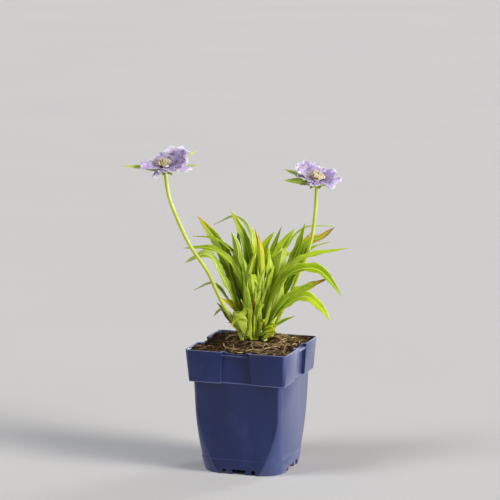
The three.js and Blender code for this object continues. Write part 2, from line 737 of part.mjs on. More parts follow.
// One ray floret: narrow at the root, three wavy lobes at the end, the same triangles on both faces
function raySolid({ around, lift, length, width, droop }, centre, index) {
  const across = RAY_OUTLINE.length - 1;
  const grid = [];
  for (let i = 0; i <= RAY_STEPS; i++) {
    for (let j = 0; j <= across; j++) {
      const v = (j / across) * 2 - 1;
      const u = (i / RAY_STEPS) * mix(1, RAY_OUTLINE[j], i / RAY_STEPS);
      const half = (width / 2) * mix(0.2, 1, smooth(clamp(u / 0.55)));
      const wave = Math.sin(v * 4.5 + index * 2.1) * RAY_WAVE * length * u * u;
      const cupping = 0.2 * half * v * v;
      grid.push([u * length, half * v, wave + cupping - droop * u * u]);
    }
  }
  const axis = direction(around, lift);
  const side = direction(around + 90, 0);
  const normal = new THREE.Vector3().crossVectors(axis, side);
  const start = centre.clone().addScaledVector(direction(around, 0), DOME_RADIUS * 0.55);
  const place = ([along, sideways, rise], offset) =>
    start
      .clone()
      .addScaledVector(axis, along)
      .addScaledVector(side, sideways)
      .addScaledVector(normal, rise + offset);
  const points = [
    ...grid.map((p) => place(p, RAY_THICK / 2)),
    ...grid.map((p) => place(p, -RAY_THICK / 2)),
  ];
  const row = across + 1;
  const under = grid.length;
  const faces = [];
  const wallAlong = (list) => {
    for (let k = 0; k + 1 < list.length; k++) {
      const [a, b] = [list[k], list[k + 1]];
      faces.push(a, under + a, under + b, a, under + b, b);
    }
  };
  for (let i = 0; i < RAY_STEPS; i++) {
    for (let j = 0; j < across; j++) {
      const a = i * row + j;
      faces.push(a, a + 1, a + row + 1, a, a + row + 1, a + row);
      faces.push(under + a, under + a + row + 1, under + a + 1);
      faces.push(under + a, under + a + row, under + a + row + 1);
    }
  }
  const cells = [...Array(row).keys()];
  const steps = [...Array(RAY_STEPS + 1).keys()];
  wallAlong(cells);
  wallAlong(steps.map((i) => i * row + across));
  wallAlong(cells.map((j) => RAY_STEPS * row + j).reverse());
  wallAlong(steps.map((i) => i * row).reverse());
  return solidOf(geometryOf(points, faces));
}

function raysSolid({ rays }, top) {
  const low = top.z + CUP_HEIGHT + GAP;
  const ring = turned(
    new THREE.CylinderGeometry(DOME_RADIUS * 0.9, DOME_RADIUS * 0.55, RING_HEIGHT, 12),
  );
  ring.translate(top.x, top.y, low + RING_HEIGHT / 2);
  const centre = new THREE.Vector3(top.x, top.y, low + RING_HEIGHT / 2);
  return joined([solidOf(ring), ...rays.map((ray, i) => raySolid(ray, centre, i))]);
}

// The dome of centre florets: flared tubes set by the golden angle
function floretsSolid(top) {
  const low = top.z + CUP_HEIGHT + RING_HEIGHT + 2 * GAP;
  const centre = new THREE.Vector3(top.x, top.y, low);
  const height = DOME_HEIGHT * 0.6;
  const dome = turned(
    new THREE.CylinderGeometry(DOME_RADIUS * 0.3, DOME_RADIUS * 0.5, height, 10),
  );
  dome.translate(top.x, top.y, low + DOME_HEIGHT * 0.3);
  const tubes = [];
  for (let i = 0; i < FLORETS; i++) {
    const share = Math.sqrt((i + 0.5) / FLORETS);
    const lean = direction((i * 360) / 1.6180339887, mix(86, 38, share));
    const length = mix(7.5, 6, share) + 1.2 * spread(i, 0.3);
    const tube = turned(new THREE.CylinderGeometry(1.25, 0.7, length, FLORET_SIDES));
    tube.translate(0, 0, length / 2 + 0.8);
    tube.applyQuaternion(new THREE.Quaternion().setFromUnitVectors(up, lean));
    tube.translate(centre.x, centre.y, centre.z);
    tubes.push(solidOf(tube));
  }
  const above = boxSolid(
    [top.x - 20, top.y - 20, low],
    [top.x + 20, top.y + 20, low + 30],
  );
  return joined([solidOf(dome), ...tubes]).intersect(above);
}

const finish = (color, roughness) => new THREE.MeshStandardMaterial({ color, roughness, metalness: 0 });
const materials = {
  pot: finish(0x4a5590, 0.5),
  soil: finish(0x3a281a, 1),
  leaf: finish(0x86a928, 0.55),
  stem: finish(0xa9bd4c, 0.5),
  bract: finish(0x8fa640, 0.6),
  petal: finish(0xa08fd6, 0.7),
  floret: finish(0xe6d59a, 0.8),
};

const pottedFlower = new THREE.Group();
const plant = new THREE.Group();
plant.rotation.z = PLANT_TURN;
pottedFlower.add(plant);

const toPot = (solid) => solid.rotate([0, 0, THREE.MathUtils.radToDeg(PLANT_TURN)]);
const holes = [
  ...Object.values(SHOOTS).map(({ at }) => toPot(crownSolid(at, GAP))),
  ...Object.values(FLOWERS).map(({ stem }) => toPot(stemSolid(stem, GAP))),
];
pottedFlower.add(meshOf('pot', potSolid(), materials.pot));
pottedFlower.add(meshOf('soil', soilSolid(holes), materials.soil));

for (const [name, shoot] of Object.entries(SHOOTS)) {
  plant.add(meshOf(name, shootSolid(shoot), materials.leaf));
}
for (const [side, flower] of Object.entries(FLOWERS)) {
  const top = vec(flower.stem.at(-1)).add(new THREE.Vector3(0, 0, GAP));
  plant.add(meshOf(`stem_${side}`, stemSolid(flower.stem, 0), materials.stem));
  plant.add(meshOf(`bracts_${side}`, bractsSolid(flower, top), materials.bract));
  plant.add(meshOf(`rays_${side}`, raysSolid(flower, top), materials.petal));
  plant.add(meshOf(`florets_${side}`, floretsSolid(top), materials.floret));
}

export default pottedFlower;
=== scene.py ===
"""Potted pincushion flower (Scabiosa caucasica), dressed around its packed model.

Forms are worked out in millimetres in the plant's own directions, and placed in metres in the pot's.
"""

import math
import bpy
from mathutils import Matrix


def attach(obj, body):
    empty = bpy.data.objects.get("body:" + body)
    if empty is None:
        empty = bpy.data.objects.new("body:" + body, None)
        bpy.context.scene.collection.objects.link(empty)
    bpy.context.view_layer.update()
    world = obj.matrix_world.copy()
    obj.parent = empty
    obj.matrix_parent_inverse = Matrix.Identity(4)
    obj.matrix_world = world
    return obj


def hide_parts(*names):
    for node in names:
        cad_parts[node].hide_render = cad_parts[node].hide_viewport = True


bl_info = {
    "name": "Potted Pincushion Flower",
    "version": (1, 0, 0),
    "blender": (4, 5, 0),
    "location": "3D View > Sidebar > Garden",
    "description": "Builds a young pincushion flower in a square nursery pot",
    "category": "Add Mesh",
}

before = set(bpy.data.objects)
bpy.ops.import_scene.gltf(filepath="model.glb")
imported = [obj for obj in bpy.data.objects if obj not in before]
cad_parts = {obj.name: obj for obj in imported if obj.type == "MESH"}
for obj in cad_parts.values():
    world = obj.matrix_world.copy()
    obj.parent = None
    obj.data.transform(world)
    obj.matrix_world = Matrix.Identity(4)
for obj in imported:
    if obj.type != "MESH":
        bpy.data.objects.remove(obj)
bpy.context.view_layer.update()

import bmesh
import bpy
import numpy as np
from bpy.props import FloatProperty, FloatVectorProperty, IntProperty, PointerProperty
from mathutils import Matrix, Vector

MM = 0.001
PLANT_TURN = math.radians(18.5)  # the plant against the pot's sides; the camera's bearing is the same
GOLDEN = 1.6180339887
GOLDEN_SHARE = 0.6180339887  # of a turn

# The pot's half-widths that the soil and its strands keep inside, in millimetres
RIM_HALF = 52.5
RIM_INSIDE = 50.5
RIM_CORNER = 3.5  # width cut off each corner
RECESS_HALF = 16.5
RECESS_INSIDE = 46.8

# What the pot's painted highlights and dust follow, in metres: heights, and where a corner facet's painted
# sheen starts
RIM_TOP = 0.125
BAND_EDGE = 0.0932
BAND_LOW = 0.092
FACET_TOP = 0.062
FACET_START = 0.0413  # from the pot's middle, at the facet's top
FACET_DRAW = 0.0208  # how much nearer the middle it starts at the foot
FACET_STEP = 0.007  # how much further out it starts on the band
FACET_CURVE = 1.6  # 1 would draw it in evenly, and more does so nearer the foot

# The soil, in millimetres, as in the packed model, with loose soil heaped on it
CROWN = (4.2, 5.6)  # the clump's middle, in the pot's directions
CROWN_CLEAR = 13  # no strand lies nearer to it
SOIL_EDGE = 121.8
SOIL_DOME = 5.5
SOIL_LUMP = 0.8
HEAP_AT = (-24, 30)
HEAP_RISE = 2.6
HEAP_SPREAD = 620  # in square millimetres
STRAND_RIDE = 1.3  # how far a strand's middle runs above the loose soil
ROOTS = 8
ROOT_RADIUS = 0.8

# Painted shade: how much darker a shoot's green is painted than the others', where the clump shades it
SHOOT_PAINTED_SHADE = {"leaves_left": 0.6, "leaves_back": 0.15, "leaves_front": 0.05}

# Each shoot: where it stands, and its leaves. A leaf is its path and its width in millimetres, its roll
# in degrees, how much of it has yellowed from the tip, how much is scorched, and how pale it is. The last
# few of each shoot are young or withered leaves low in the crown, finer than the packed model's.
SHOOTS = {
    "leaves_left": ((-3, 8), [
        ([(-17, 10, 182), (-30, 12, 217), (-40, 13, 233), (-54, 14, 251)], 13, 75, 0.26, 0.22, 0),
        ([(-9, 3, 188), (-15, 1, 211), (-38, -1, 230), (-58, -2, 233)], 6, 25, 0, 0, 0),
        ([(-9, -1, 179), (-22, -5, 208), (-40, -7, 221), (-68, -8, 222)], 9, 40, 0.05, 0, 0),
        ([(-14, -2, 159), (-29, -9, 192), (-44, -14, 217), (-66, -17, 209)], 12, 45, 0, 0, 0.2),
        ([(-14, 10, 150), (-27, 13, 170), (-39, 16, 182), (-58, 18, 175)], 5, 20, 0, 0.05, 0.4),
        ([(-17, 5, 140), (-27, 2, 154), (-35, 0, 166)], 7, 50, 0.15, 0, 0),
        ([(-16, 10, 142), (-28, 11, 157), (-38, 12, 150)], 4, 30, 0.8, 0.8, 0.3),
        ([(-7, 1, 150), (-17, -3, 163), (-30, -6, 171)], 9, 80, 0.5, 0.0, 0),
        ([(-5, 4, 168), (-12, 1, 195), (-14, -2, 222), (-20, -6, 238)], 12, -70, 0.1, 0, 0),
        ([(-12, 14, 165), (-24, 22, 195), (-38, 30, 205)], 8, 20, 0, 0, 0),
        ([(-10, 6, 170), (-20, 4, 200), (-26, 4, 226)], 10, 60, 0, 0, 0),
        ([(-8, 4, 150), (-16, 1, 176), (-22, -2, 193)], 7, 40, 0, 0, 0),
        ([(-14, 5, 140), (-24, 2, 156), (-33, 1, 158), (-38, 0, 152)], 3, 60, 0.05, 0.1, 0.9),
        ([(-9, -3, 134), (-17, -6, 146), (-24, -8, 147)], 3, 60, 0.7, 0.4, 0.5),
    ]),
    "leaves_front": ((3, -1), [
        ([(-7, -10, 146), (-12, -17, 159), (-5, -26, 160)], 14, -20, 0.15, 0, 0.25),
        ([(-4, -7, 155), (-5, -11, 180), (-1, -13, 205), (4, -14, 221)], 7, 0, 0, 0, 0),
        ([(2, -10, 170), (0, -16, 197), (6, -26, 188)], 9, 0, 0, 0, 0.1),
        ([(6, -5, 175), (9, -6, 200), (8, -7, 223), (3, -8, 242)], 8, 0, 0.42, 0.3, 0),
        ([(8, -8, 165), (8, -12, 186), (13, -14, 204)], 7, 0, 0.1, 0, 0),
        ([(5, -10, 150), (8, -25, 167), (11, -42, 169)], 8, 0, 0, 0, 0.1),
        ([(13, -10, 138), (23, -19, 142)], 11, 40, 0.45, 0.1, 0),
        ([(-5, -11, 148), (-14, -25, 154), (-21, -38, 149)], 6, 0, 0.2, 0.2, 0),
        ([(-2, -5, 160), (-4, -9, 190), (-9, -14, 214)], 9, -30, 0, 0, 0),
        ([(4, -7, 148), (4, -11, 166), (9, -15, 183)], 9, 0, 0, 0, 0),
        ([(7, -3, 150), (8, -5, 180), (6, -7, 203)], 7, 20, 0, 0, 0),
        ([(6, -4, 144), (10, -8, 164), (14, -11, 181)], 6, 10, 0.1, 0, 0),
        ([(-3, -6, 140), (-6, -12, 158), (-11, -15, 172)], 6, 20, 0.2, 0, 0),
        ([(8, -6, 138), (12, -11, 148), (11, -17, 152)], 6, 0, 0.6, 0, 0),
        ([(-7, -4, 131), (-13, -8, 139), (-19, -11, 144)], 4, 20, 0.6, 0.3, 0.3),
        ([(-8, -9, 137), (-14, -15, 150), (-17, -19, 161)], 15, -25, 0.1, 0, 0.3),
        ([(2, -12, 156), (3, -15, 166), (2, -16, 174)], 4, 0, 0.9, 0.75, 0),
        ([(-2, -8, 140), (-6, -12, 170), (-9, -13, 200)], 5, 20, 0, 0, 0.2),
        ([(2, -9, 138), (3, -14, 165), (4, -16, 188)], 4, 0, 0, 0, 0.1),
        ([(-1, -9, 131), (-3, -13, 150), (-4, -15, 184)], 7, 30, 0, 0, 0),
        ([(8, -7, 136), (9, -11, 150), (8, -15, 172)], 5, 20, 0.1, 0, 0),
    ]),
    "leaves_right": ((12, 1), [
        ([(18, -1, 172), (28, -3, 194), (50, -5, 211), (96, -7, 222)], 8, 35, 0.05, 0, 0),
        ([(15, -3, 160), (28, -9, 187), (45, -15, 201), (66, -21, 202), (89, -28, 177)], 11, 50, 0, 0, 0),
        ([(16, -5, 145), (30, -11, 168), (48, -15, 180), (75, -20, 194)], 10, 55, 0.34, 0.32, 0),
        ([(17, -7, 143), (31, -16, 163), (52, -27, 177), (65, -33, 170), (77, -38, 155)], 11, 50, 0, 0.05, 0),
        ([(20, -4, 140), (30, -7, 147), (43, -9, 154)], 5, 30, 0, 0, 0.2),
        ([(19, 0, 165), (27, -1, 200), (30, -3, 222), (24, -10, 216)], 13, -45, 0, 0, 0.3),
        ([(18, -6, 152), (26, -11, 172), (31, -13, 191)], 10, -50, 0, 0, 0.3),
        ([(16, -2, 165), (19, -3, 195), (17, -4, 222)], 11, 0, 0, 0, 0),
        ([(14, -2, 152), (17, -3, 175), (22, -6, 204)], 10, 0, 0, 0, 0),
        ([(10, -3, 150), (8, -5, 182), (9, -8, 206)], 8, 30, 0, 0, 0),
        ([(15, -4, 140), (22, -8, 156), (31, -11, 165)], 6, 40, 0, 0, 0.1),
        ([(13, -5, 136), (17, -12, 145), (25, -17, 146)], 6, 30, 0.3, 0, 0),
        ([(13, -6, 130), (18, -13, 135), (25, -17, 139)], 12, 30, 0.2, 0, 0.3),
        ([(14, -6, 142), (23, -10, 170), (36, -13, 196)], 4, 20, 0, 0, 0.3),
        ([(12, -6, 140), (18, -11, 165), (29, -13, 190)], 4, 60, 0, 0, 0.1),
        ([(14, -7, 137), (24, -13, 158), (36, -18, 174)], 4, 40, 0, 0, 0.4),
        ([(12, -6, 136), (16, -12, 152), (20, -16, 170)], 5, 30, 0.1, 0, 0),
    ]),
    "leaves_back_right": ((14, 13), [
        ([(18, 12, 172), (24, 11, 203), (31, 12, 222), (43, 13, 238)], 14, 80, 0, 0, 0),
        ([(25, 11, 165), (38, 11, 197), (47, 11, 222), (53, 11, 244)], 10, 65, 0.1, 0, 0),
        ([(26, 20, 185), (38, 23, 222), (54, 26, 237), (81, 29, 238)], 5, 10, 0, 0, 0.1),
        ([(28, 18, 172), (44, 20, 212), (60, 22, 234)], 7, 60, 0.4, 0.24, 0),
        ([(29, 15, 166), (46, 17, 201), (58, 18, 224), (70, 18, 229), (83, 18, 239)], 11, 65, 0.26, 0.32, 0),
        ([(30, 12, 162), (50, 13, 203), (60, 13, 218), (79, 13, 225)], 6, 30, 0.1, 0, 0.3),
        ([(24, 26, 180), (36, 38, 208), (54, 52, 196)], 9, 0, 0, 0, 0),
        ([(22, 24, 150), (34, 40, 176), (44, 56, 186)], 8, 0, 0, 0, 0),
        ([(18, 26, 165), (24, 44, 188), (28, 66, 176)], 8, 0, 0.1, 0, 0),
        ([(16, 11, 160), (20, 9, 190), (22, 8, 212)], 9, 75, 0, 0, 0.1),
    ]),
    "leaves_back": ((5, 19), [
        ([(0, 18, 190), (-7, 18, 226), (-14, 19, 242), (-22, 20, 257)], 10, 75, 0.22, 0.17, 0),
        ([(2, 22, 200), (-4, 24, 236), (-16, 26, 248), (-38, 26, 240)], 5, 20, 0, 0, 0),
        ([(4, 16, 185), (3, 14, 215), (-1, 14, 241)], 11, 80, 0.1, 0, 0),
        ([(7, 16, 180), (10, 14, 207), (14, 14, 222), (23, 15, 235)], 12, 80, 0, 0, 0),
        ([(9, 20, 180), (20, 23, 212), (30, 25, 239)], 7, 60, 0, 0, 0),
        ([(2, 32, 180), (-4, 48, 204), (-12, 62, 186)], 9, 0, 0, 0, 0),
        ([(-3, 30, 165), (-14, 46, 190), (-26, 60, 184)], 8, 0, 0, 0, 0),
        ([(7, 34, 155), (10, 56, 178), (14, 76, 158)], 8, 0, 0.1, 0.05, 0),
        ([(-2, 28, 142), (-10, 44, 160), (-16, 58, 158)], 7, 0, 0, 0, 0),
        ([(6, 30, 145), (4, 42, 162), (2, 54, 162)], 7, 0, 0, 0, 0),
        ([(-4, 20, 170), (-12, 20, 205), (-14, 20, 236)], 9, 75, 0, 0, 0),
        ([(7, 17, 165), (9, 15, 192), (7, 14, 216)], 9, 70, 0, 0, 0),
        ([(1, 17, 160), (-1, 15, 190), (0, 14, 212)], 9, 75, 0, 0, 0),
    ]),
}

# Each flower: its stem, its bracts (bearing, lift, length, width, roll), its rays (bearing, lift,
# length, width, droop), how open its centre is, and how far the centre leans over. Bearings, lifts and
# rolls are in degrees, and the rest in millimetres.
FLOWERS = {
    "left": {
        "stem": [(-7, -1, 116), (-12, -5, 136), (-29.5, -15, 169), (-44, -22, 202), (-60.8, -25, 228),
                 (-73, -24, 254), (-81.2, -22, 276), (-84.4, -20, 297)],
        "bracts": [(182, 11, 42, 5.5, 45), (3, 15, 33, 6, 40), (34, 30, 42, 5, 50), (77, 35, 43, 5, 50),
                   (128, 16, 24, 6, 20), (222, 3, 15, 6, 0), (262, 1, 12, 6, 0), (300, 2, 14, 6, 0)],
        "rays": [(88, 52, 19, 17, 1), (56, 43, 27, 20, 0), (22, 43, 27, 19, 1), (352, 29, 21, 17, 1),
                 (326, 12, 25, 15, 5), (290, 10, 13, 11, 3), (258, 8, 11, 10, 3), (236, 14, 12, 7, 10),
                 (204, 12, 23, 15, 3), (174, 20, 22, 12, 3), (144, 36, 14, 13, 2), (116, 44, 17, 14, 1)],
        "open": 0.4,
        "lean": -0.4,
    },
    "right": {
        "stem": [(19, 7, 116), (20, 7, 132), (28, 6.5, 151), (38.5, 6, 173), (47, 6, 194), (55, 6, 213),
                 (59.7, 6, 231), (63, 6, 258), (64, 6, 280)],
        "bracts": [(168, 28, 38, 7, 35), (188, 13, 34, 8, 50), (130, 26, 24, 6, 20), (88, 28, 20, 6, 20),
                   (40, 14, 16, 6, 20), (8, 4, 14, 6, 0), (284, 0, 11, 6, 0), (240, 2, 13, 6, 0)],
        "rays": [(214, 26, 19, 16, 2), (184, 41, 24, 20, 1), (150, 50, 25, 20, 1), (112, 54, 22, 15, 0),
                 (78, 46, 19, 12, 1), (46, 30, 19, 13, 1), (18, 37, 20, 15, 1), (350, 18, 22, 13, 4),
                 (320, 12, 16, 12, 8), (276, 8, 11, 9, 3), (244, 10, 13, 10, 3)],
        "open": 1.0,
        "lean": 0.25,
    },
}
STEM_RADII = (1.9, 1.6)  # at the foot and under the head
CROWN_RADIUS = 3.4  # of the short stock that a shoot's leaves leave from
HEAD_GAP = 0.3  # between a stem's end and its head
BRACT_ROOT = (2.86, 1.68)  # where a bract leaves its cup: out from the middle, and up
RING_RISE = 5.5  # from a head's foot to its ring of rays
RAY_ROOT = 3.3  # how far from the middle a ray starts
DOME_RISE = 6.8  # from a head's foot to its centre florets
DOME_RADIUS = 1.6  # how far from the dome's middle a floret or pin starts
FLORETS = 34  # on each head
PINS = 36

# Each light: where it comes from, how soft it is in degrees, and its colour
LIGHTS = {
    "key": ((1.0, -0.1, 0.6), 18, "#fff9ef"),
    "side": ((0.95, -0.3, 0.06), 20, "#fdfaff"),
    "rim": ((0.46, 0.88, 0.05), 20, "#f9f8ff"),
    "fill": ((-0.6, -0.55, 0.95), 25, "#f2f5ff"),
}
FLOOR_RADIUS = 14

# The camera, at the photograph's viewing angle: its lens in millimetres and its places in metres
CAMERA_RISE = math.radians(9.82)
CAMERA_LENS = 181.8
CAMERA_SENSOR = 36
CAMERA_AWAY = 2.5
CAMERA_ASIDE = -0.0018
CAMERA_HEIGHT = 0.21877

# Names and settings that many nodes share. A Map Range's inputs are its value (0), the ends of what
# comes in (1 and 2) and the ends of what goes out (3 and 4).
MATH, RANGE, NOISE, NAMED, MIX, VECTOR, BUMP, READ, STORE = (
    "ShaderNodeMath", "ShaderNodeMapRange", "ShaderNodeTexNoise", "GeometryNodeInputNamedAttribute",
    "ShaderNodeMix", "ShaderNodeVectorMath", "ShaderNodeBump", "ShaderNodeAttribute",
    "GeometryNodeStoreNamedAttribute")
ADD, SUBTRACT, MULTIPLY, MULTIPLY_ADD, ABSOLUTE, SINE, COSINE, POWER, MINIMUM, MAXIMUM, ARCTAN2, SCALE = (
    {"operation": name} for name in (
        "ADD", "SUBTRACT", "MULTIPLY", "MULTIPLY_ADD", "ABSOLUTE", "SINE", "COSINE", "POWER", "MINIMUM",
        "MAXIMUM", "ARCTAN2", "SCALE"))
SOFT = {"interpolation_type": "SMOOTHSTEP"}
COLOURS = {"data_type": "RGBA"}


def linear(hex_colour):
    """An sRGB hex colour as linear red, green, blue and alpha."""
    parts = [int(hex_colour[i : i + 2], 16) / 255 for i in (1, 3, 5)]
    return (*[p / 12.92 if p <= 0.04045 else ((p + 0.055) / 1.055) ** 2.4 for p in parts], 1.0)


def add(tree, kind, settings=None, inputs=None):
    """Adds a node with its settings. An input, by name or number, takes a value, or what it links to."""
    made = tree.nodes.new(kind)
    for name, value in (settings or {}).items():
        setattr(made, name, value)
    for key, value in (inputs or {}).items():
        named = [s for s in made.inputs if s.enabled and s.name == key]
        socket = made.inputs[key] if isinstance(key, int) else named[0]
        if isinstance(value, bpy.types.Node):
            value = next(s for s in value.outputs if s.enabled)
        if isinstance(value, bpy.types.NodeSocket):
            tree.links.new(value, socket)
        else:
            socket.default_value = value
    return made


def smooth(t):
    """Eases a share from 0 to 1."""
    return t * t * (3 - 2 * t)


def unit(vectors):
    """Vectors of length 1."""
    return vectors / np.linalg.norm(vectors, axis=-1, keepdims=True)


def turned(vectors):
    """Directions of the plant, as directions of the pot."""
    v = np.asarray(vectors, float)
    c, s = math.cos(PLANT_TURN), math.sin(PLANT_TURN)
    return np.stack([v[..., 0] * c - v[..., 1] * s, v[..., 0] * s + v[..., 1] * c, v[..., 2]], -1)


def direction(bearing, lift):
    """A direction from its bearing and its angle above level, in degrees."""
    a, e = math.radians(bearing), math.radians(lift)
    return np.array([math.cos(e) * math.cos(a), math.cos(e) * math.sin(a), math.sin(e)])


def spread(index, offset=0.0):
    """The fractions of a golden turn: even, and never repeating."""
    return (index * GOLDEN_SHARE + offset) % 1


def lump(x, y):
    """Low lumps of soil, the same wherever they are asked for."""
    total = 0
    for i in range(1, 7):
        along = x * math.cos(2.4 * i) + y * math.sin(2.4 * i)
        total = total + np.sin(along * (0.09 + 0.06 * i) + i * i) / (1 + 0.25 * i)
    return total


def soil_height(x, y):
    """The packed soil's level at a place in the pot's directions, in millimetres."""
    away = np.hypot(x - CROWN[0], y - CROWN[1]) / RIM_HALF
    return SOIL_EDGE + SOIL_DOME * smooth(np.clip(1.08 - away, 0, 1)) + SOIL_LUMP * lump(x, y)


def soil_top(x, y):
    """The loose soil's level: heaped higher at the back left, up to the rim."""
    far = (x - HEAP_AT[0]) ** 2 + (y - HEAP_AT[1]) ** 2
    return soil_height(x, y) + HEAP_RISE * np.exp(-far / HEAP_SPREAD)


def inside_pot(x, y, clear=0.0):
    """Where the pot's wall leaves room at the soil's level."""
    near, far = np.minimum(abs(x), abs(y)), np.maximum(abs(x), abs(y))
    within = (far < RIM_INSIDE - clear) & (abs(x) + abs(y) < 2 * RIM_INSIDE - RIM_CORNER - clear)
    return within & ~((near < RECESS_HALF) & (far > RECESS_INSIDE - clear))


def bend(points, count):
    """Even steps along a centripetal Catmull-Rom curve: places, headings and run from the start."""
    p = np.array(points, float)
    p = np.vstack([2 * p[0] - p[1], p, 2 * p[-1] - p[-2]])
    t = np.linspace(0, 1, 80, endpoint=False)[:, None]
    fine = []
    for a, b, c, d in zip(p, p[1:], p[2:], p[3:]):
        g, h, k = (np.linalg.norm(q - r) ** 0.5 for q, r in ((b, a), (c, b), (d, c)))
        leave = ((b - a) / g - (c - a) / (g + h) + (c - b) / h) * h
        arrive = ((c - b) / h - (d - b) / (h + k) + (d - c) / k) * h
        bow = 3 * (c - b) - 2 * leave - arrive
        fine.append(b + leave * t + bow * t**2 + (2 * (b - c) + leave + arrive) * t**3)
    fine = np.vstack([*fine, p[-2:-1]])
    reach = np.append(0, np.cumsum(np.linalg.norm(np.diff(fine, axis=0), axis=1)))
    run = np.linspace(0, reach[-1], count)
    places = np.stack([np.interp(run, reach, fine[:, k]) for k in range(3)], -1)
    return places, unit(np.gradient(places, axis=0)), run


def leaf_share(t):
    """Half-width along a leaf: a long petiole, a broad middle and a drawn-out tip."""
    low = 0.38 + 0.62 * smooth(np.clip((t - 0.12) / 0.5, 0, 1))
    return np.where(t < 0.62, low, np.cos(np.clip((t - 0.62) / 0.38, 0, 1) * math.pi / 2) ** 0.85)


def bract_share(t):
    """The same along a bract, which is widest nearer its base."""
    low = 0.55 + 0.45 * smooth(np.clip(t / 0.35, 0, 1))
    return np.where(t < 0.35, low, np.cos(np.clip((t - 0.35) / 0.65, 0, 1) * math.pi / 2) ** 0.9)


def blade(points, width, roll, share, rings, tooth, key):
    """A folded blade's midline, with its sides and half-widths. tooth is radians of edge for each mm."""
    places, headings, run = bend(points, rings)
    t = np.linspace(0, 1, rings)
    course = places[-1] - places[0]
    heading = math.atan2(course[1], course[0])
    flat = np.array([-math.sin(heading), math.cos(heading), 0])
    side = unit(flat - headings * (headings @ flat)[:, None])
    turn = math.radians(roll) * (1 if math.cos(heading) > 0 else -1)
    turn = (turn * (0.55 + 0.45 * smooth(np.clip(2 * t, 0, 1))))[:, None]
    side = side * np.cos(turn) + np.cross(headings, side) * np.sin(turn)
    uneven = 1 + 0.06 * np.sin(run * tooth + 3 * key) + 0.05 * np.sin(run * tooth * 0.43 + key)
    return {
        "places": places, "side": side, "normal": np.cross(headings, side), "axis": headings,
        "half": np.maximum(width / 2 * share(t) * uneven, 0.12),
        "along": np.minimum(t, 0.999), "run": run, "reach": np.full(rings, run[-1]),
    }


def ray(bearing, lift, length, width, droop, centre, rings):
    """A ray floret's midline: narrow at its root, broad from its middle on."""
    u = np.linspace(0, 1, rings)
    axis, side = direction(bearing, lift), direction(bearing + 90, 0)
    # Each twists to face the front, most at the sides of the head
    twist = math.radians(20) * math.cos(math.radians(bearing))
    side = side * math.cos(twist) + np.cross(axis, side) * math.sin(twist)
    normal = np.cross(axis, side)
    root = centre + direction(bearing, 0) * RAY_ROOT
    opened = 0.2 + 0.8 * smooth(np.clip(u / 0.55, 0, 1))
    closing = 1.08 - 0.14 * smooth(np.clip((u - 0.75) / 0.25, 0, 1))
    return {
        "places": root + np.outer(u * length, axis) - np.outer(droop * u * u, normal),
        "side": np.tile(side, (rings, 1)), "normal": np.tile(normal, (rings, 1)),
        "axis": np.tile(axis, (rings, 1)), "half": width / 2 * opened * closing,
        "along": np.minimum(u, 0.999), "run": u * length, "reach": np.full(rings, float(length)),
    }


def placed(name, mesh):
    """An object for a mesh, in the scene."""
    piece = bpy.data.objects.new(name, mesh)
    bpy.context.scene.collection.objects.link(piece)
    return piece


def dots(name, places, **values):
    """An object of loose points, with each value as an attribute of the points."""
    mesh = bpy.data.meshes.new(name)
    mesh.from_pydata([tuple(p) for p in places], [], [])
    for key, value in values.items():
        value = np.asarray(value)
        kind = "INT" if value.dtype.kind == "i" else "FLOAT"
        layer = mesh.attributes.new(key, "FLOAT_VECTOR" if value.ndim == 2 else kind, "POINT")
        layer.data.foreach_set("vector" if value.ndim == 2 else "value", value.ravel())
    return placed(name, mesh)


def blade_dots(name, rows, **extra):
    """The midlines of many blades as points. extra holds one number for each blade."""
    joined = {key: np.concatenate([row[key] for row in rows]) for key in rows[0]}
    owner = np.concatenate([np.full(len(row["run"]), i) for i, row in enumerate(rows)])
    return dots(
        name, turned(joined["places"]) * MM, strand=owner.astype(np.int32), side=turned(joined["side"]),
        nrm=turned(joined["normal"]), axis=turned(joined["axis"]), half=joined["half"] * MM,
        reach=joined["reach"] * MM, along=joined["along"], run=joined["run"],
        **{key: np.asarray(value, float)[owner] for key, value in extra.items()},
    )


def strand_dots(name, rows, place, **extra):
    """Many thin strands as points. A row is its places and its radii in millimetres."""
    owner = np.concatenate([np.full(len(row[0]), i) for i, row in enumerate(rows)])
    return dots(
        name, place(np.concatenate([row[0] for row in rows])) * MM, strand=owner.astype(np.int32),
        girth=np.concatenate([row[1] for row in rows]) * MM,
        along=np.concatenate([np.linspace(0, 0.999, len(row[0])) for row in rows]),
        **{key: np.asarray(value, float)[owner] for key, value in extra.items()},
    )


def spun(name, profile, sides, lobes=0, depth=0.0):
    """A closed form turned about Z from radii and heights in mm, lobed more the nearer its end."""
    shape = bmesh.new()
    tone = shape.verts.layers.float.new("tone")
    rings = []
    for i, (radius, height) in enumerate(profile):
        share = i / (len(profile) - 1)
        ring = []
        for k in range(sides):
            a = 2 * math.pi * k / sides
            r = radius * (1 + depth * math.cos(lobes * a) * share)
            ring.append(shape.verts.new((r * math.cos(a) * MM, r * math.sin(a) * MM, height * MM)))
            ring[-1][tone] = share
        rings.append(ring)
    for low, high in zip(rings, rings[1:]):
        for k in range(sides):
            n = (k + 1) % sides
            shape.faces.new((low[k], low[n], high[n], high[k]))
    shape.faces.new(rings[0][::-1])
    shape.faces.new(rings[-1])
    for face in shape.faces:
        face.smooth = True
    mesh = bpy.data.meshes.new(name)
    shape.to_mesh(mesh)
    shape.free()
    return placed(name, mesh)


def seated(form, spot, material):
    """Moves a turned form's mesh to a spot on the plant, in mm, and gives it its finish."""
    form.data.transform(Matrix.Translation(turned(spot) * MM))
    form.data.materials.append(material)
    return form


# The Geometry Nodes trees


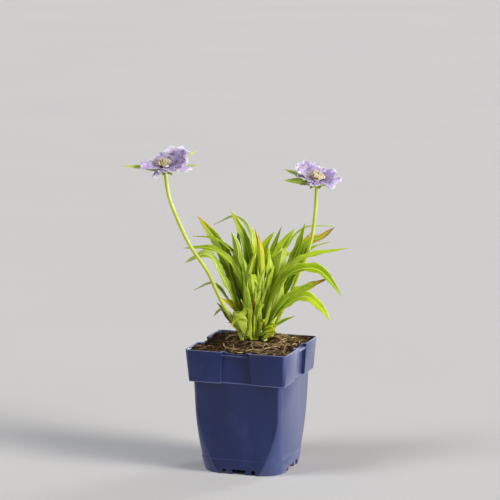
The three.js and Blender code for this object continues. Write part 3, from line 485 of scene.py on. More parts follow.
def new_tree(name, sockets):
    """A Geometry Nodes tree with named inputs: each is its type, default and description."""
    tree = bpy.data.node_groups.new(name, "GeometryNodeTree")
    tree.interface.new_socket("Geometry", in_out="INPUT", socket_type="NodeSocketGeometry")
    for label, (kind, default, words) in sockets.items():
        kind = f"NodeSocket{kind}"
        socket = tree.interface.new_socket(label, in_out="INPUT", socket_type=kind, description=words)
        if default is not None:
            socket.default_value = default
    tree.interface.new_socket("Geometry", in_out="OUTPUT", socket_type="NodeSocketGeometry")
    return tree, add(tree, "NodeGroupInput").outputs


def close_tree(tree, geometry, material):
    """Ends a tree: real geometry, smooth shading and the material."""
    real = add(tree, "GeometryNodeRealizeInstances", {}, {"Geometry": geometry})
    shaded = add(tree, "GeometryNodeSetShadeSmooth", {}, {"Geometry": real, "Shade Smooth": True})
    dressed = add(tree, "GeometryNodeSetMaterial", {}, {"Geometry": shaded, "Material": material})
    add(tree, "NodeGroupOutput", {}, {"Geometry": dressed})
    return tree


def strands_of(tree, points):
    """Loose points as curves, one for each strand."""
    number = add(tree, NAMED, {"data_type": "INT"}, {"Name": "strand"})
    along = add(tree, NAMED, {"data_type": "FLOAT"}, {"Name": "along"})
    loose = add(tree, "GeometryNodeMeshToPoints", {}, {"Mesh": points})
    return add(tree, "GeometryNodePointsToCurves", {},
               {"Points": loose, "Curve Group ID": number, "Weight": along})


def blade_tree():
    """Blades along strands of points: folded, ribbed, waved and lobed."""
    tree, given = new_tree("Blade", {
        "Points Around": ("Int", 24, "Points round a blade's section, in fours"),
        "Thickness": ("Float", 0.0009, "Thickness at the middle, in metres"),
        "Fold": ("Float", 0.3, "Rise of the edges, as a share of the half-width"),
        "Fold Curve": ("Float", 1.4, "1 is a sharp fold, 2 a round one"),
        "Fold Variety": ("Float", 0.2, "How much the fold differs from blade to blade"),
        "Rib Depth": ("Float", 0.0003, "Depth of the midrib's groove, in metres"),
        "Edge Wave": ("Float", 0.1, "Waves of the edges, as a share of the half-width"),
        "Edge Wave Step": ("Float", 0.35, "Radians of wave for each millimetre"),
        "Tip Wave": ("Float", 0.0, "Waves across the end, as a share of the length"),
        "Tip Wave Count": ("Float", 4.5, "Radians of wave over the half-width"),
        "Frill": ("Float", 0.0, "Fine waves at the very end, as a share of the length"),
        "Lobe Depth": ("Float", 0.0, "How far the notches cut in, as a share of the length"),
        "Material": ("Material", None, "The blade's finish"),
    })
    section = add(tree, "GeometryNodeCurvePrimitiveCircle", {},
                  {"Resolution": given["Points Around"], "Radius": 1.0})
    spot = add(tree, "ShaderNodeSeparateXYZ", {}, {0: add(tree, "GeometryNodeInputPosition")})
    angle = add(tree, MATH, ARCTAN2, {0: spot.outputs[1], 1: spot.outputs[0]})
    level = add(tree, MATH, ABSOLUTE, {0: angle})
    even = add(tree, MATH, MULTIPLY_ADD, {0: level, 1: -2 / math.pi, 2: 1.0})
    for key, value in (("across", even), ("face", spot.outputs[1])):
        section = add(tree, STORE, {"data_type": "FLOAT", "domain": "POINT"},
                      {"Geometry": section, "Name": key, "Value": value})
    flat = add(tree, "ShaderNodeCombineXYZ", {}, {"X": even})
    section = add(tree, "GeometryNodeSetPosition", {}, {"Geometry": section, "Position": flat})
    read = {}
    for kind, keys in (("FLOAT", ("across", "face", "along", "half", "run", "reach")),
                       ("FLOAT_VECTOR", ("side", "nrm", "axis")), ("INT", ("strand",))):
        for key in keys:
            read[key] = add(tree, NAMED, {"data_type": kind}, {"Name": key})
    curves = add(tree, "GeometryNodeSetCurveNormal", {"mode": "FREE"},
                 {"Curve": strands_of(tree, given["Geometry"]), "Normal": read["side"]})
    surface = add(tree, "GeometryNodeCurveToMesh", {},
                  {"Curve": curves, "Profile Curve": section, "Scale": read["half"], "Fill Caps": True})

    # The fold, with waves along the edges
    out = add(tree, MATH, ABSOLUTE, {0: read["across"]})
    curl = add(tree, MATH, POWER, {0: out, 1: given["Fold Curve"]})
    own = add(tree, MATH, SINE, {0: add(tree, MATH, MULTIPLY, {0: read["strand"], 1: 1.7})})
    own = add(tree, MATH, MULTIPLY_ADD, {0: own, 1: given["Fold Variety"], 2: 1.0})
    own = add(tree, MATH, MULTIPLY, {0: own, 1: given["Fold"]})
    fold = add(tree, MATH, MULTIPLY, {0: curl, 1: own})
    start = add(tree, MATH, MULTIPLY_ADD,
                {0: read["strand"], 1: 2.3, 2: add(tree, MATH, {"operation": "SIGN"}, {0: read["across"]})})
    phase = add(tree, MATH, MULTIPLY_ADD, {0: read["run"], 1: given["Edge Wave Step"], 2: start})
    wave = add(tree, MATH, MULTIPLY, {0: add(tree, MATH, SINE, {0: phase}), 1: given["Edge Wave"]})
    edge = add(tree, MATH, MULTIPLY, {0: out, 1: out})
    fold = add(tree, MATH, MULTIPLY_ADD, {0: wave, 1: edge, 2: fold})
    rise = add(tree, MATH, MULTIPLY, {0: fold, 1: read["half"]})
    # The midrib's groove, and the thickness
    groove = add(tree, RANGE, SOFT, {0: out, 1: 0.26, 2: 0.0})
    left = add(tree, MATH, MULTIPLY_ADD, {0: read["along"], 1: -1.0, 2: 1.0})
    groove = add(tree, MATH, MULTIPLY, {0: groove, 1: left})
    deep = add(tree, MATH, MULTIPLY, {0: given["Rib Depth"], 1: -1.0})
    rise = add(tree, MATH, MULTIPLY_ADD, {0: groove, 1: deep, 2: rise})
    taper = add(tree, MATH, MULTIPLY_ADD, {0: read["along"], 1: -0.28, 2: 0.62})
    thick = add(tree, MATH, MULTIPLY, {0: taper, 1: given["Thickness"]})
    rise = add(tree, MATH, MULTIPLY_ADD, {0: thick, 1: read["face"], 2: rise})
    # Waves across the end
    late = add(tree, MATH, MULTIPLY, {0: read["along"], 1: read["along"]})
    late = add(tree, MATH, MULTIPLY, {0: late, 1: read["reach"]})
    turn = add(tree, MATH, MULTIPLY, {0: read["strand"], 1: 2.1})
    turn = add(tree, MATH, MULTIPLY_ADD, {0: read["across"], 1: given["Tip Wave Count"], 2: turn})
    sway = add(tree, MATH, MULTIPLY, {0: add(tree, MATH, SINE, {0: turn}), 1: given["Tip Wave"]})
    quick = add(tree, MATH, MULTIPLY, {0: turn, 1: 3.1})
    quick = add(tree, MATH, MULTIPLY_ADD, {0: read["along"], 1: 5.0, 2: quick})
    frill = add(tree, MATH, MULTIPLY, {0: add(tree, MATH, SINE, {0: quick}), 1: given["Frill"]})
    sway = add(tree, MATH, MULTIPLY_ADD, {0: frill, 1: read["along"], 2: sway})
    rise = add(tree, MATH, MULTIPLY_ADD, {0: sway, 1: late, 2: rise})
    lift = add(tree, VECTOR, SCALE, {0: read["nrm"], "Scale": rise})
    # Three rounded lobes
    share = add(tree, MATH, MULTIPLY_ADD, {0: read["across"], 1: 0.5, 2: 0.5})
    notch = add(tree, "ShaderNodeFloatCurve", {}, {"Value": share})
    line = notch.mapping.curves[0].points
    line[0].location, line[-1].location = (0, 1), (1, 1)
    for x, y in ((0.05, 0.52), (0.18, 0.14), (0.34, 0.5), (0.5, 0), (0.66, 0.5), (0.82, 0.14), (0.95, 0.52)):
        line.new(x, y)
    notch.mapping.update()
    cut = add(tree, MATH, MULTIPLY, {0: notch, 1: given["Lobe Depth"]})
    cut = add(tree, MATH, MULTIPLY, {0: add(tree, MATH, MULTIPLY, {0: cut, 1: late}), 1: -1.0})
    drawn = add(tree, VECTOR, SCALE, {0: read["axis"], "Scale": cut})
    move = add(tree, VECTOR, ADD, {0: lift, 1: drawn})
    surface = add(tree, "GeometryNodeSetPosition", {}, {"Geometry": surface, "Offset": move})
    return close_tree(tree, surface, given["Material"])


def tube_tree():
    """Round strands along points: stems, roots and fibres."""
    tree, given = new_tree("Tube", {
        "Sides": ("Int", 8, "Points round a strand"),
        "Grooves": ("Float", 6.0, "How many grooves run along it"),
        "Groove Depth": ("Float", 0.0, "Their depth, as a share of the radius"),
        "Roughness": ("Float", 0.0, "How far its skin wanders, in metres"),
        "Grain": ("Float", 400.0, "Wanderings to a metre"),
        "Material": ("Material", None, "The strand's finish"),
    })
    ring = add(tree, "GeometryNodeCurvePrimitiveCircle", {}, {"Resolution": given["Sides"], "Radius": 1.0})
    spot = add(tree, "ShaderNodeSeparateXYZ", {}, {0: add(tree, "GeometryNodeInputPosition")})
    angle = add(tree, MATH, ARCTAN2, {0: spot.outputs[1], 1: spot.outputs[0]})
    ring = add(tree, STORE, {"data_type": "FLOAT", "domain": "POINT"},
               {"Geometry": ring, "Name": "around", "Value": angle})
    girth = add(tree, NAMED, {"data_type": "FLOAT"}, {"Name": "girth"})
    around = add(tree, NAMED, {"data_type": "FLOAT"}, {"Name": "around"})
    curves = strands_of(tree, given["Geometry"])
    tube = add(tree, "GeometryNodeCurveToMesh", {},
               {"Curve": curves, "Profile Curve": ring, "Scale": girth, "Fill Caps": True})
    noise = add(tree, NOISE, {}, {"Scale": given["Grain"], "Detail": 2.0})
    swell = add(tree, MATH, SUBTRACT, {0: noise.outputs[0], 1: 0.5})
    swell = add(tree, MATH, MULTIPLY, {0: swell, 1: given["Roughness"]})
    groove = add(tree, MATH, MULTIPLY, {0: around, 1: given["Grooves"]})
    groove = add(tree, MATH, MULTIPLY, {0: add(tree, MATH, COSINE, {0: groove}), 1: given["Groove Depth"]})
    swell = add(tree, MATH, MULTIPLY_ADD, {0: groove, 1: girth, 2: swell})
    outward = add(tree, "GeometryNodeInputNormal")
    move = add(tree, VECTOR, SCALE, {0: outward, "Scale": swell})
    tube = add(tree, "GeometryNodeSetPosition", {}, {"Geometry": tube, "Offset": move})
    return close_tree(tree, tube, given["Material"])


def repeat_tree():
    """One form at each point, standing along the point's own direction."""
    tree, given = new_tree("Repeat", {
        "Form": ("Object", None, "The form, standing on the origin along Z"),
        "Material": ("Material", None, "The forms' finish"),
    })
    lean = add(tree, NAMED, {"data_type": "FLOAT_VECTOR"}, {"Name": "lean"})
    size = add(tree, NAMED, {"data_type": "FLOAT_VECTOR"}, {"Name": "size"})
    stand = add(tree, "FunctionNodeAlignRotationToVector", {"axis": "Z"}, {"Vector": lean})
    form = add(tree, "GeometryNodeObjectInfo", {"transform_space": "ORIGINAL"}, {"Object": given["Form"]})
    loose = add(tree, "GeometryNodeMeshToPoints", {}, {"Mesh": given["Geometry"]})
    forms = add(tree, "GeometryNodeInstanceOnPoints", {},
                {"Points": loose, "Instance": form.outputs["Geometry"], "Rotation": stand, "Scale": size})
    return close_tree(tree, forms, given["Material"])


def scatter_tree():
    """Forms scattered over a surface, each with a shade of its own."""
    tree, given = new_tree("Scatter", {
        "Form": ("Object", None, "The form, standing on the origin along Z"),
        "Density": ("Float", 1e6, "Forms to a square metre"),
        "Smallest": ("Float", 0.5, "Least size, as a share of the form's"),
        "Largest": ("Float", 1.0, "Greatest size, as a share of the form's"),
        "Tumble": ("Float", 0.4, "How far a form leans from upright, in radians"),
        "Seed": ("Int", 3, "Another seed gives another scatter"),
        "Material": ("Material", None, "The forms' finish"),
    })
    strewn = add(tree, "GeometryNodeDistributePointsOnFaces", {"distribute_method": "RANDOM"},
                 {"Mesh": given["Geometry"], "Density": given["Density"], "Seed": given["Seed"]})
    tilt = add(tree, MATH, MULTIPLY, {0: given["Tumble"], 1: -1.0})
    low = add(tree, "ShaderNodeCombineXYZ", {}, {"X": tilt, "Y": tilt, "Z": 0.0})
    high = add(tree, "ShaderNodeCombineXYZ", {}, {"X": given["Tumble"], "Y": given["Tumble"], "Z": 6.28})
    lean = add(tree, "FunctionNodeRandomValue", {"data_type": "FLOAT_VECTOR"},
               {"Min": low, "Max": high, "Seed": given["Seed"]})
    facing = add(tree, "FunctionNodeRotateRotation", {"rotation_space": "LOCAL"},
                 {"Rotation": strewn.outputs["Rotation"], "Rotate By": lean})
    size = add(tree, "FunctionNodeRandomValue", {"data_type": "FLOAT"},
               {"Min": given["Smallest"], "Max": given["Largest"], "Seed": given["Seed"]})
    stretch = add(tree, "FunctionNodeRandomValue", {"data_type": "FLOAT_VECTOR"},
                  {"Min": (0.7, 0.7, 0.6), "Max": (1.3, 1.2, 1.2), "Seed": 11})
    scale = add(tree, VECTOR, SCALE, {0: stretch, "Scale": size})
    form = add(tree, "GeometryNodeObjectInfo", {"transform_space": "ORIGINAL"}, {"Object": given["Form"]})
    forms = add(tree, "GeometryNodeInstanceOnPoints", {},
                {"Points": strewn.outputs["Points"], "Instance": form.outputs["Geometry"],
                 "Rotation": facing, "Scale": scale})
    shade = add(tree, "FunctionNodeRandomValue", {"data_type": "FLOAT"}, {"Min": 0.0, "Max": 1.0, "Seed": 5})
    forms = add(tree, STORE, {"data_type": "FLOAT", "domain": "INSTANCE"},
                {"Geometry": forms, "Name": "shade", "Value": shade})
    return close_tree(tree, forms, given["Material"])


def relief_tree():
    """Breaks up the soil's surface into clods and hollows."""
    tree, given = new_tree("Relief", {
        "Clods": ("Float", 0.0018, "Height of the clods, in metres"),
        "Clod Grain": ("Float", 160.0, "Clods to a metre"),
        "Grit": ("Float", 0.001, "Height of the fine grain, in metres"),
        "Material": ("Material", None, "The soil's finish"),
    })
    clod = add(tree, NOISE, {}, {"Scale": given["Clod Grain"], "Detail": 2.0})
    clod = add(tree, MATH, MULTIPLY, {0: clod.outputs[0], 1: given["Clods"]})
    grit = add(tree, NOISE, {}, {"Scale": 620.0, "Detail": 3.0, "Roughness": 0.7})
    grit = add(tree, MATH, MULTIPLY_ADD, {0: grit.outputs[0], 1: given["Grit"], 2: clod})
    rise = add(tree, "ShaderNodeCombineXYZ", {}, {"Z": grit})
    moved = add(tree, "GeometryNodeSetPosition", {}, {"Geometry": given["Geometry"], "Offset": rise})
    return close_tree(tree, moved, given["Material"])


TREES = {
    "Blade": blade_tree, "Tube": tube_tree, "Repeat": repeat_tree, "Scatter": scatter_tree,
    "Relief": relief_tree,
}


def grow(piece, name, inputs):
    """Runs a tree on a piece and keeps the result as its plain mesh."""
    tree = bpy.data.node_groups.get(name) or TREES[name]()
    modifier = piece.modifiers.new(name, "NODES")
    modifier.node_group = tree
    sockets = {s.name: s.identifier for s in tree.interface.items_tree if s.in_out == "INPUT"}
    for label, value in inputs.items():
        modifier[sockets[label]] = value
    return settle(piece)


def settle(piece):
    """Turns a piece with its modifiers into a plain mesh."""
    graph = bpy.context.evaluated_depsgraph_get()
    made = bpy.data.meshes.new_from_object(piece.evaluated_get(graph), depsgraph=graph)
    if not made.polygons:
        raise RuntimeError(f"{piece.name} came out with no faces")
    old = piece.data
    piece.modifiers.clear()
    piece.data = made
    made.name = piece.name
    bpy.data.meshes.remove(old)
    return piece


def join(piece, *others):
    """Adds the meshes of other objects to a piece and removes those objects."""
    whole = bmesh.new()
    for part in (piece, *others):
        whole.from_mesh(part.data)
    whole.to_mesh(piece.data)
    whole.free()
    for part in others:
        bpy.data.objects.remove(part)
    return piece


def copy_of(node, name):
    """A copy of a packed node's mesh, with its loose triangles joined up."""
    piece = placed(name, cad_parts[node].data.copy())
    shape = bmesh.new()
    shape.from_mesh(piece.data)
    bmesh.ops.remove_doubles(shape, verts=shape.verts, dist=1e-6)
    bmesh.ops.dissolve_limit(shape, angle_limit=math.radians(0.5), verts=shape.verts, edges=shape.edges)
    shape.to_mesh(piece.data)
    shape.free()
    return piece


def hand_over(piece, slot, *nodes):
    """Fixes a piece to the plant and hides the packed nodes it stands for. The slot is not used."""
    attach(piece, "root")
    if nodes:
        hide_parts(*nodes)


# The finishes


def new_material(name):
    """An empty material, its tree, and the places in the piece that its patterns read."""
    made = bpy.data.materials.new(name)
    made.use_nodes = True
    made.node_tree.nodes.clear()
    return made, made.node_tree, add(made.node_tree, "ShaderNodeTexCoord").outputs["Object"]


def close_material(made, inputs):
    """Ends a material: its shader, with the inputs given, and its output."""
    shader = add(made.node_tree, "ShaderNodeBsdfPrincipled", {}, inputs)
    add(made.node_tree, "ShaderNodeOutputMaterial", {}, {"Surface": shader})
    return made


def polypropylene(settings):
    """Injection-moulded polypropylene: satin, with soft flow streaks, a pale bloom at a slant, and painted
    highlights on its edges and corner facets.
    """
    made, tree, place = new_material("moulded_polypropylene")
    level, depth, high = add(tree, "ShaderNodeSeparateXYZ", {}, {0: place}).outputs
    # The melt flows up from the base and leaves soft upright streaks about 12 mm apart
    drawn = add(tree, "ShaderNodeMapping", {}, {"Vector": place, "Scale": (85.0, 85.0, 7.0)})
    flow = add(tree, NOISE, {}, {"Vector": drawn, "Scale": 1.0, "Detail": 3.0}).outputs[0]
    flow = add(tree, RANGE, {}, {0: flow, 1: 0.3, 2: 0.7})
    # Faded patches, about 30 mm across, are a little paler
    faded = add(tree, NOISE, {}, {"Vector": place, "Scale": 34.0, "Detail": 4.0}).outputs[0]
    faded = add(tree, RANGE, SOFT, {0: faded, 1: 0.5, 2: 0.75, 4: 0.08})
    # Painted highlight: a pale line along the rim and along the band's lower edge
    edge = add(tree, MATH, ABSOLUTE, {0: add(tree, MATH, SUBTRACT, {0: high, 1: BAND_EDGE})})
    edge = add(tree, RANGE, SOFT, {0: edge, 1: 0.0009, 2: 0.0002, 4: 0.5})
    top = add(tree, RANGE, {}, {0: high, 1: RIM_TOP - 0.0008, 2: RIM_TOP, 4: 0.5})
    edge_highlight = add(tree, MATH, MAXIMUM, {0: edge, 1: top})
    # Painted sheen: the corner facets are painted paler, as if lit, reaching further round towards the foot
    below = add(tree, RANGE, {}, {0: high, 1: FACET_TOP, 2: 0.0})
    start = add(tree, MATH, POWER, {0: below, 1: FACET_CURVE})
    start = add(tree, MATH, MULTIPLY_ADD, {0: start, 1: -FACET_DRAW, 2: FACET_START})
    band = add(tree, RANGE, {}, {0: high, 1: BAND_LOW - 0.0005, 2: BAND_LOW + 0.0005, 4: FACET_STEP})
    start = add(tree, MATH, ADD, {0: start, 1: band})
    level, depth = (add(tree, MATH, ABSOLUTE, {0: side}) for side in (level, depth))
    corner = add(tree, MATH, MINIMUM, {0: level, 1: depth})
    corner = add(tree, MATH, SUBTRACT, {0: corner, 1: start})
    corner = add(tree, RANGE, SOFT, {0: corner, 1: -0.0005, 2: 0.0015, 4: 0.17})
    # Peat dust lies along the rim's edge and in the bottom few millimetres
    rim = add(tree, RANGE, SOFT, {0: high, 1: RIM_TOP - 0.0045, 2: RIM_TOP + 0.0003, 4: 0.4})
    foot = add(tree, RANGE, SOFT, {0: high, 1: 0.009, 2: 0.0, 4: 0.5})
    specks = add(tree, NOISE, {}, {"Vector": place, "Scale": 420.0, "Detail": 4.0}).outputs[0]
    specks = add(tree, RANGE, {}, {0: specks, 1: 0.5, 2: 0.68})
    dust = add(tree, MATH, MULTIPLY, {0: add(tree, MATH, MAXIMUM, {0: rim, 1: foot}), 1: specks})
    colour = settings.colour
    for mask, tint in (
        (flow, settings.colour_worn), (faded, settings.faded), (dust, settings.dust),
        (corner, settings.highlighted), (edge_highlight, settings.highlighted),
    ):
        colour = add(tree, MIX, COLOURS, {"Factor": mask, "A": colour, "B": tint})
    rough = add(tree, RANGE, {}, {0: flow, 3: 0.42, 4: 0.52})
    # Spark-eroded mould texture, about 0.5 mm
    skin = add(tree, NOISE, {}, {"Vector": place, "Scale": 1900.0, "Detail": 2.0}).outputs[0]
    bump = add(tree, BUMP, {}, {"Strength": 0.1, "Distance": 0.0001, "Height": skin})
    return close_material(made, {
        "Base Color": colour, "Roughness": rough, "Normal": bump, "IOR": 1.49, "Specular IOR Level": 0.4,
        "Sheen Weight": 0.45, "Sheen Roughness": 0.4, "Sheen Tint": settings.bloom})


def peat(settings):
    """Peat potting soil: nearly black where it is damp, brown and fibrous where it has dried."""
    made, tree, place = new_material("peat_soil")
    shade = add(tree, READ, {"attribute_name": "shade"}).outputs["Fac"]
    clods = add(tree, NOISE, {}, {"Vector": place, "Scale": 150.0, "Detail": 4.0}).outputs[0]
    tone = add(tree, MATH, MULTIPLY_ADD, {0: shade, 1: 0.45, 2: clods})
    tone = add(tree, RANGE, {}, {0: tone, 1: 0.42, 2: 1.0})
    # Bark and coir bits, 1 to 2 mm, reddish or straw-coloured
    bits = add(tree, "ShaderNodeTexVoronoi", {}, {"Vector": place, "Scale": 700.0}).outputs["Color"]
    bits = add(tree, "ShaderNodeSeparateXYZ", {}, {0: bits})
    red = add(tree, RANGE, {}, {0: bits.outputs[0], 1: 0.8, 2: 0.86, 4: 0.55})
    straw = add(tree, RANGE, {}, {0: bits.outputs[1], 1: 0.92, 2: 0.95, 4: 0.55})
    colour = settings.damp_colour
    for mask, tint in ((tone, settings.dry_colour), (red, settings.bark), (straw, settings.straw)):
        colour = add(tree, MIX, COLOURS, {"Factor": mask, "A": colour, "B": tint})
    grain = add(tree, NOISE, {}, {"Vector": place, "Scale": 1500.0, "Detail": 4.0}).outputs[0]
    bump = add(tree, BUMP, {}, {"Strength": 0.6, "Distance": 0.0004, "Height": grain})
    return close_material(made, {
        "Base Color": colour, "Roughness": 0.95, "Normal": bump, "Specular IOR Level": 0.2})


def root_fibre(settings):
    """Living root and coir: a dull, fine-grained skin from straw to reddish brown."""
    made, tree, place = new_material("root_fibre")
    shade = add(tree, READ, {"attribute_name": "shade"}).outputs["Fac"]
    stains = add(tree, NOISE, {}, {"Vector": place, "Scale": 260.0, "Detail": 3.0}).outputs[0]
    stains = add(tree, RANGE, {}, {0: stains, 1: 0.5, 2: 0.8, 4: 0.6})
    colour = settings.fibre_colour
    for mask, tint in ((shade, settings.root_colour), (stains, settings.root_stain)):
        colour = add(tree, MIX, COLOURS, {"Factor": mask, "A": colour, "B": tint})
    grain = add(tree, NOISE, {}, {"Vector": place, "Scale": 2400.0, "Detail": 2.0}).outputs[0]
    bump = add(tree, BUMP, {}, {"Strength": 0.3, "Distance": 0.0002, "Height": grain})
    return close_material(made, {
        "Base Color": colour, "Roughness": 0.75, "Normal": bump, "Specular IOR Level": 0.3})


def leaf_blade(settings, name="leaf_blade"):
    """A living leaf: waxy green, a pale midrib and rim, side veins, and tips that yellow and scorch."""
    made, tree, place = new_material(name)
    read, masks = {}, {}
    for key in ("along", "across", "face", "run", "strand", "blush", "scorch", "pale", "ripe"):
        read[key] = add(tree, READ, {"attribute_name": key}).outputs["Fac"]
    out = add(tree, MATH, ABSOLUTE, {0: read["across"]})
    # Light and dark patches about 25 mm apart, a tone for each leaf, and painted shade on the shoots that the
    # clump shades
    patches = add(tree, NOISE, {}, {"Vector": place, "Scale": 42.0, "Detail": 3.0}).outputs[0]
    # The "ripe" value holds each shoot's painted shade and darkens it
    patches = add(tree, MATH, SUBTRACT, {0: patches, 1: read["ripe"]})
    own = add(tree, "ShaderNodeTexWhiteNoise", {"noise_dimensions": "1D"}, {"W": read["strand"]}).outputs[0]
    tone = add(tree, MATH, MULTIPLY_ADD, {0: own, 1: 0.55, 2: patches})
    # Side veins leave the midrib every 3 mm and sweep forwards
    sweep = add(tree, MATH, MULTIPLY_ADD, {0: out, 1: -7.0, 2: read["run"]})
    sweep = add(tree, MATH, {"operation": "PINGPONG"}, {0: sweep, 1: 1.5})
    # Ageing starts at the tip and follows the edges: yellow, then orange, then brown
    ragged = add(tree, NOISE, {}, {"Vector": place, "Scale": 110.0, "Detail": 3.0}).outputs[0]
    age = add(tree, MATH, MULTIPLY_ADD, {0: ragged, 1: 0.36, 2: read["along"]})
    age = add(tree, MATH, MULTIPLY_ADD, {0: out, 1: 0.2, 2: age})
    gone = add(tree, MATH, ADD, {0: age, 1: read["blush"]})
    worst = add(tree, MATH, ADD, {0: age, 1: read["scorch"]})
    for key, source, low, high, most in (
        ("tone", tone, 0.45, 1.0, 1.0), ("foot", read["along"], 0.5, 0.08, 0.85),
        ("vein", sweep, 0.3, 0.0, 0.2), ("under", read["face"], 0.05, -0.25, 0.14),
        ("rib", out, 0.14, 0.03, 0.7), ("rim", out, 0.86, 1.0, 0.6),
        ("yellow", gone, 1.3, 1.6, 0.8), ("amber", worst, 1.36, 1.5, 0.45),
        ("brown", worst, 1.44, 1.62, 0.9),
    ):
        masks[key] = add(tree, RANGE, SOFT, {0: source, 1: low, 2: high, 4: most})
    under = add(tree, MATH, MAXIMUM, {0: masks["under"], 1: read["pale"]})
    colour = settings.leaf_deep
    for mask, tint in (
        (masks["tone"], settings.leaf_fresh), (masks["foot"], settings.petiole),
        (masks["vein"], settings.rib), (under, settings.underside), (masks["rib"], settings.rib),
        (masks["rim"], settings.rib), (masks["yellow"], settings.yellowed),
        (masks["amber"], settings.amber), (masks["brown"], settings.scorched),
    ):
        colour = add(tree, MIX, COLOURS, {"Factor": mask, "A": colour, "B": tint})
    # Cell-sized grain is too fine to show, so it is drawn at 0.6 mm
    cells = add(tree, NOISE, {}, {"Vector": place, "Scale": 1600.0, "Detail": 2.0}).outputs[0]
    relief = add(tree, MATH, MULTIPLY_ADD, {0: masks["vein"], 1: -1.6, 2: cells})
    bump = add(tree, BUMP, {}, {"Strength": 0.35, "Distance": 0.0002, "Height": relief})
    return close_material(made, {
        "Base Color": colour, "Roughness": 0.44, "Normal": bump, "Specular IOR Level": 0.25,
        "IOR": 1.42, "Subsurface Weight": 0.35, "Subsurface Radius": (0.7, 1.0, 0.1),
        "Subsurface Scale": 0.0015})


def stem_skin(settings):
    """A living stem: smooth, ribbed lengthwise, yellow-green and paler towards the flower."""
    made, tree, place = new_material("stem_skin")
    along = add(tree, READ, {"attribute_name": "along"}).outputs["Fac"]
    around = add(tree, READ, {"attribute_name": "around"}).outputs["Fac"]
    patches = add(tree, NOISE, {}, {"Vector": place, "Scale": 60.0, "Detail": 3.0}).outputs[0]
    tone = add(tree, MATH, MULTIPLY_ADD, {0: along, 1: 0.5, 2: patches})
    tone = add(tree, RANGE, {}, {0: tone, 1: 0.35, 2: 1.05})
    rib = add(tree, MATH, COSINE, {0: add(tree, MATH, MULTIPLY, {0: around, 1: 7.0})})
    line = add(tree, RANGE, {}, {0: rib, 1: 0.2, 2: 1.0, 4: 0.4})
    colour = settings.stem_low
    for mask, tint in ((tone, settings.stem_high), (line, settings.rib)):
        colour = add(tree, MIX, COLOURS, {"Factor": mask, "A": colour, "B": tint})
    bump = add(tree, BUMP, {}, {"Strength": 0.4, "Distance": 0.0002, "Height": rib})
    return close_material(made, {
        "Base Color": colour, "Roughness": 0.45, "Normal": bump, "IOR": 1.42, "Subsurface Weight": 0.2,
        "Subsurface Radius": (0.6, 1.0, 0.25), "Subsurface Scale": 0.0012})


def petal_tissue(settings):
    """Petal tissue: thin and matt, lets light through, with fan-like veins and whitish edges."""
    made, tree, place = new_material("petal_tissue")
    read, masks = {}, {}
    for key in ("along", "across", "face", "strand"):
        read[key] = add(tree, READ, {"attribute_name": key}).outputs["Fac"]
    out = add(tree, MATH, ABSOLUTE, {0: read["across"]})
    patches = add(tree, NOISE, {}, {"Vector": place, "Scale": 150.0, "Detail": 3.0}).outputs[0]
    own = add(tree, "ShaderNodeTexWhiteNoise", {"noise_dimensions": "1D"}, {"W": read["strand"]}).outputs[0]
    tone = add(tree, MATH, MULTIPLY_ADD, {0: own, 1: 0.35, 2: patches})
    # Veins fan out from the root, about 1 mm apart at the broad end
    fan = add(tree, MATH, MULTIPLY, {0: read["across"], 1: 26.0})
    fan = add(tree, MATH, MULTIPLY_ADD, {0: patches, 1: 5.0, 2: fan})
    fan = add(tree, MATH, COSINE, {0: fan})
    for key, source, low, high, most in (
        ("tone", tone, 0.45, 0.95, 0.85), ("vein", fan, 0.3, 1.0, 0.4),
        ("root", read["along"], 0.28, 0.1, 0.45), ("end", read["along"], 0.88, 1.0, 0.75),
        ("border", out, 0.84, 1.0, 0.75), ("under", read["face"], 0.05, -0.25, 0.4),
    ):
        masks[key] = add(tree, RANGE, SOFT, {0: source, 1: low, 2: high, 4: most})
    colour = settings.petal
    for mask in ("tone", "vein"):
        colour = add(tree, MIX, COLOURS, {"Factor": masks[mask], "A": colour, "B": settings.petal_deep})
    for mask in ("end", "border", "under"):
        colour = add(tree, MIX, COLOURS, {"Factor": masks[mask], "A": colour, "B": settings.petal_edge})
    colour = add(tree, MIX, COLOURS, {"Factor": masks["root"], "A": colour, "B": settings.petal_deep})
    crease = add(tree, MATH, MULTIPLY_ADD, {0: fan, 1: -0.5, 2: patches})
    bump = add(tree, BUMP, {}, {"Strength": 0.35, "Distance": 0.0003, "Height": crease})
    return close_material(made, {
        "Base Color": colour, "Roughness": 0.6, "Normal": bump, "Specular IOR Level": 0.3,
        "Sheen Weight": 0.15, "Subsurface Weight": 0.8, "Subsurface Radius": (1.0, 0.9, 1.0),
        "Subsurface Scale": 0.002})


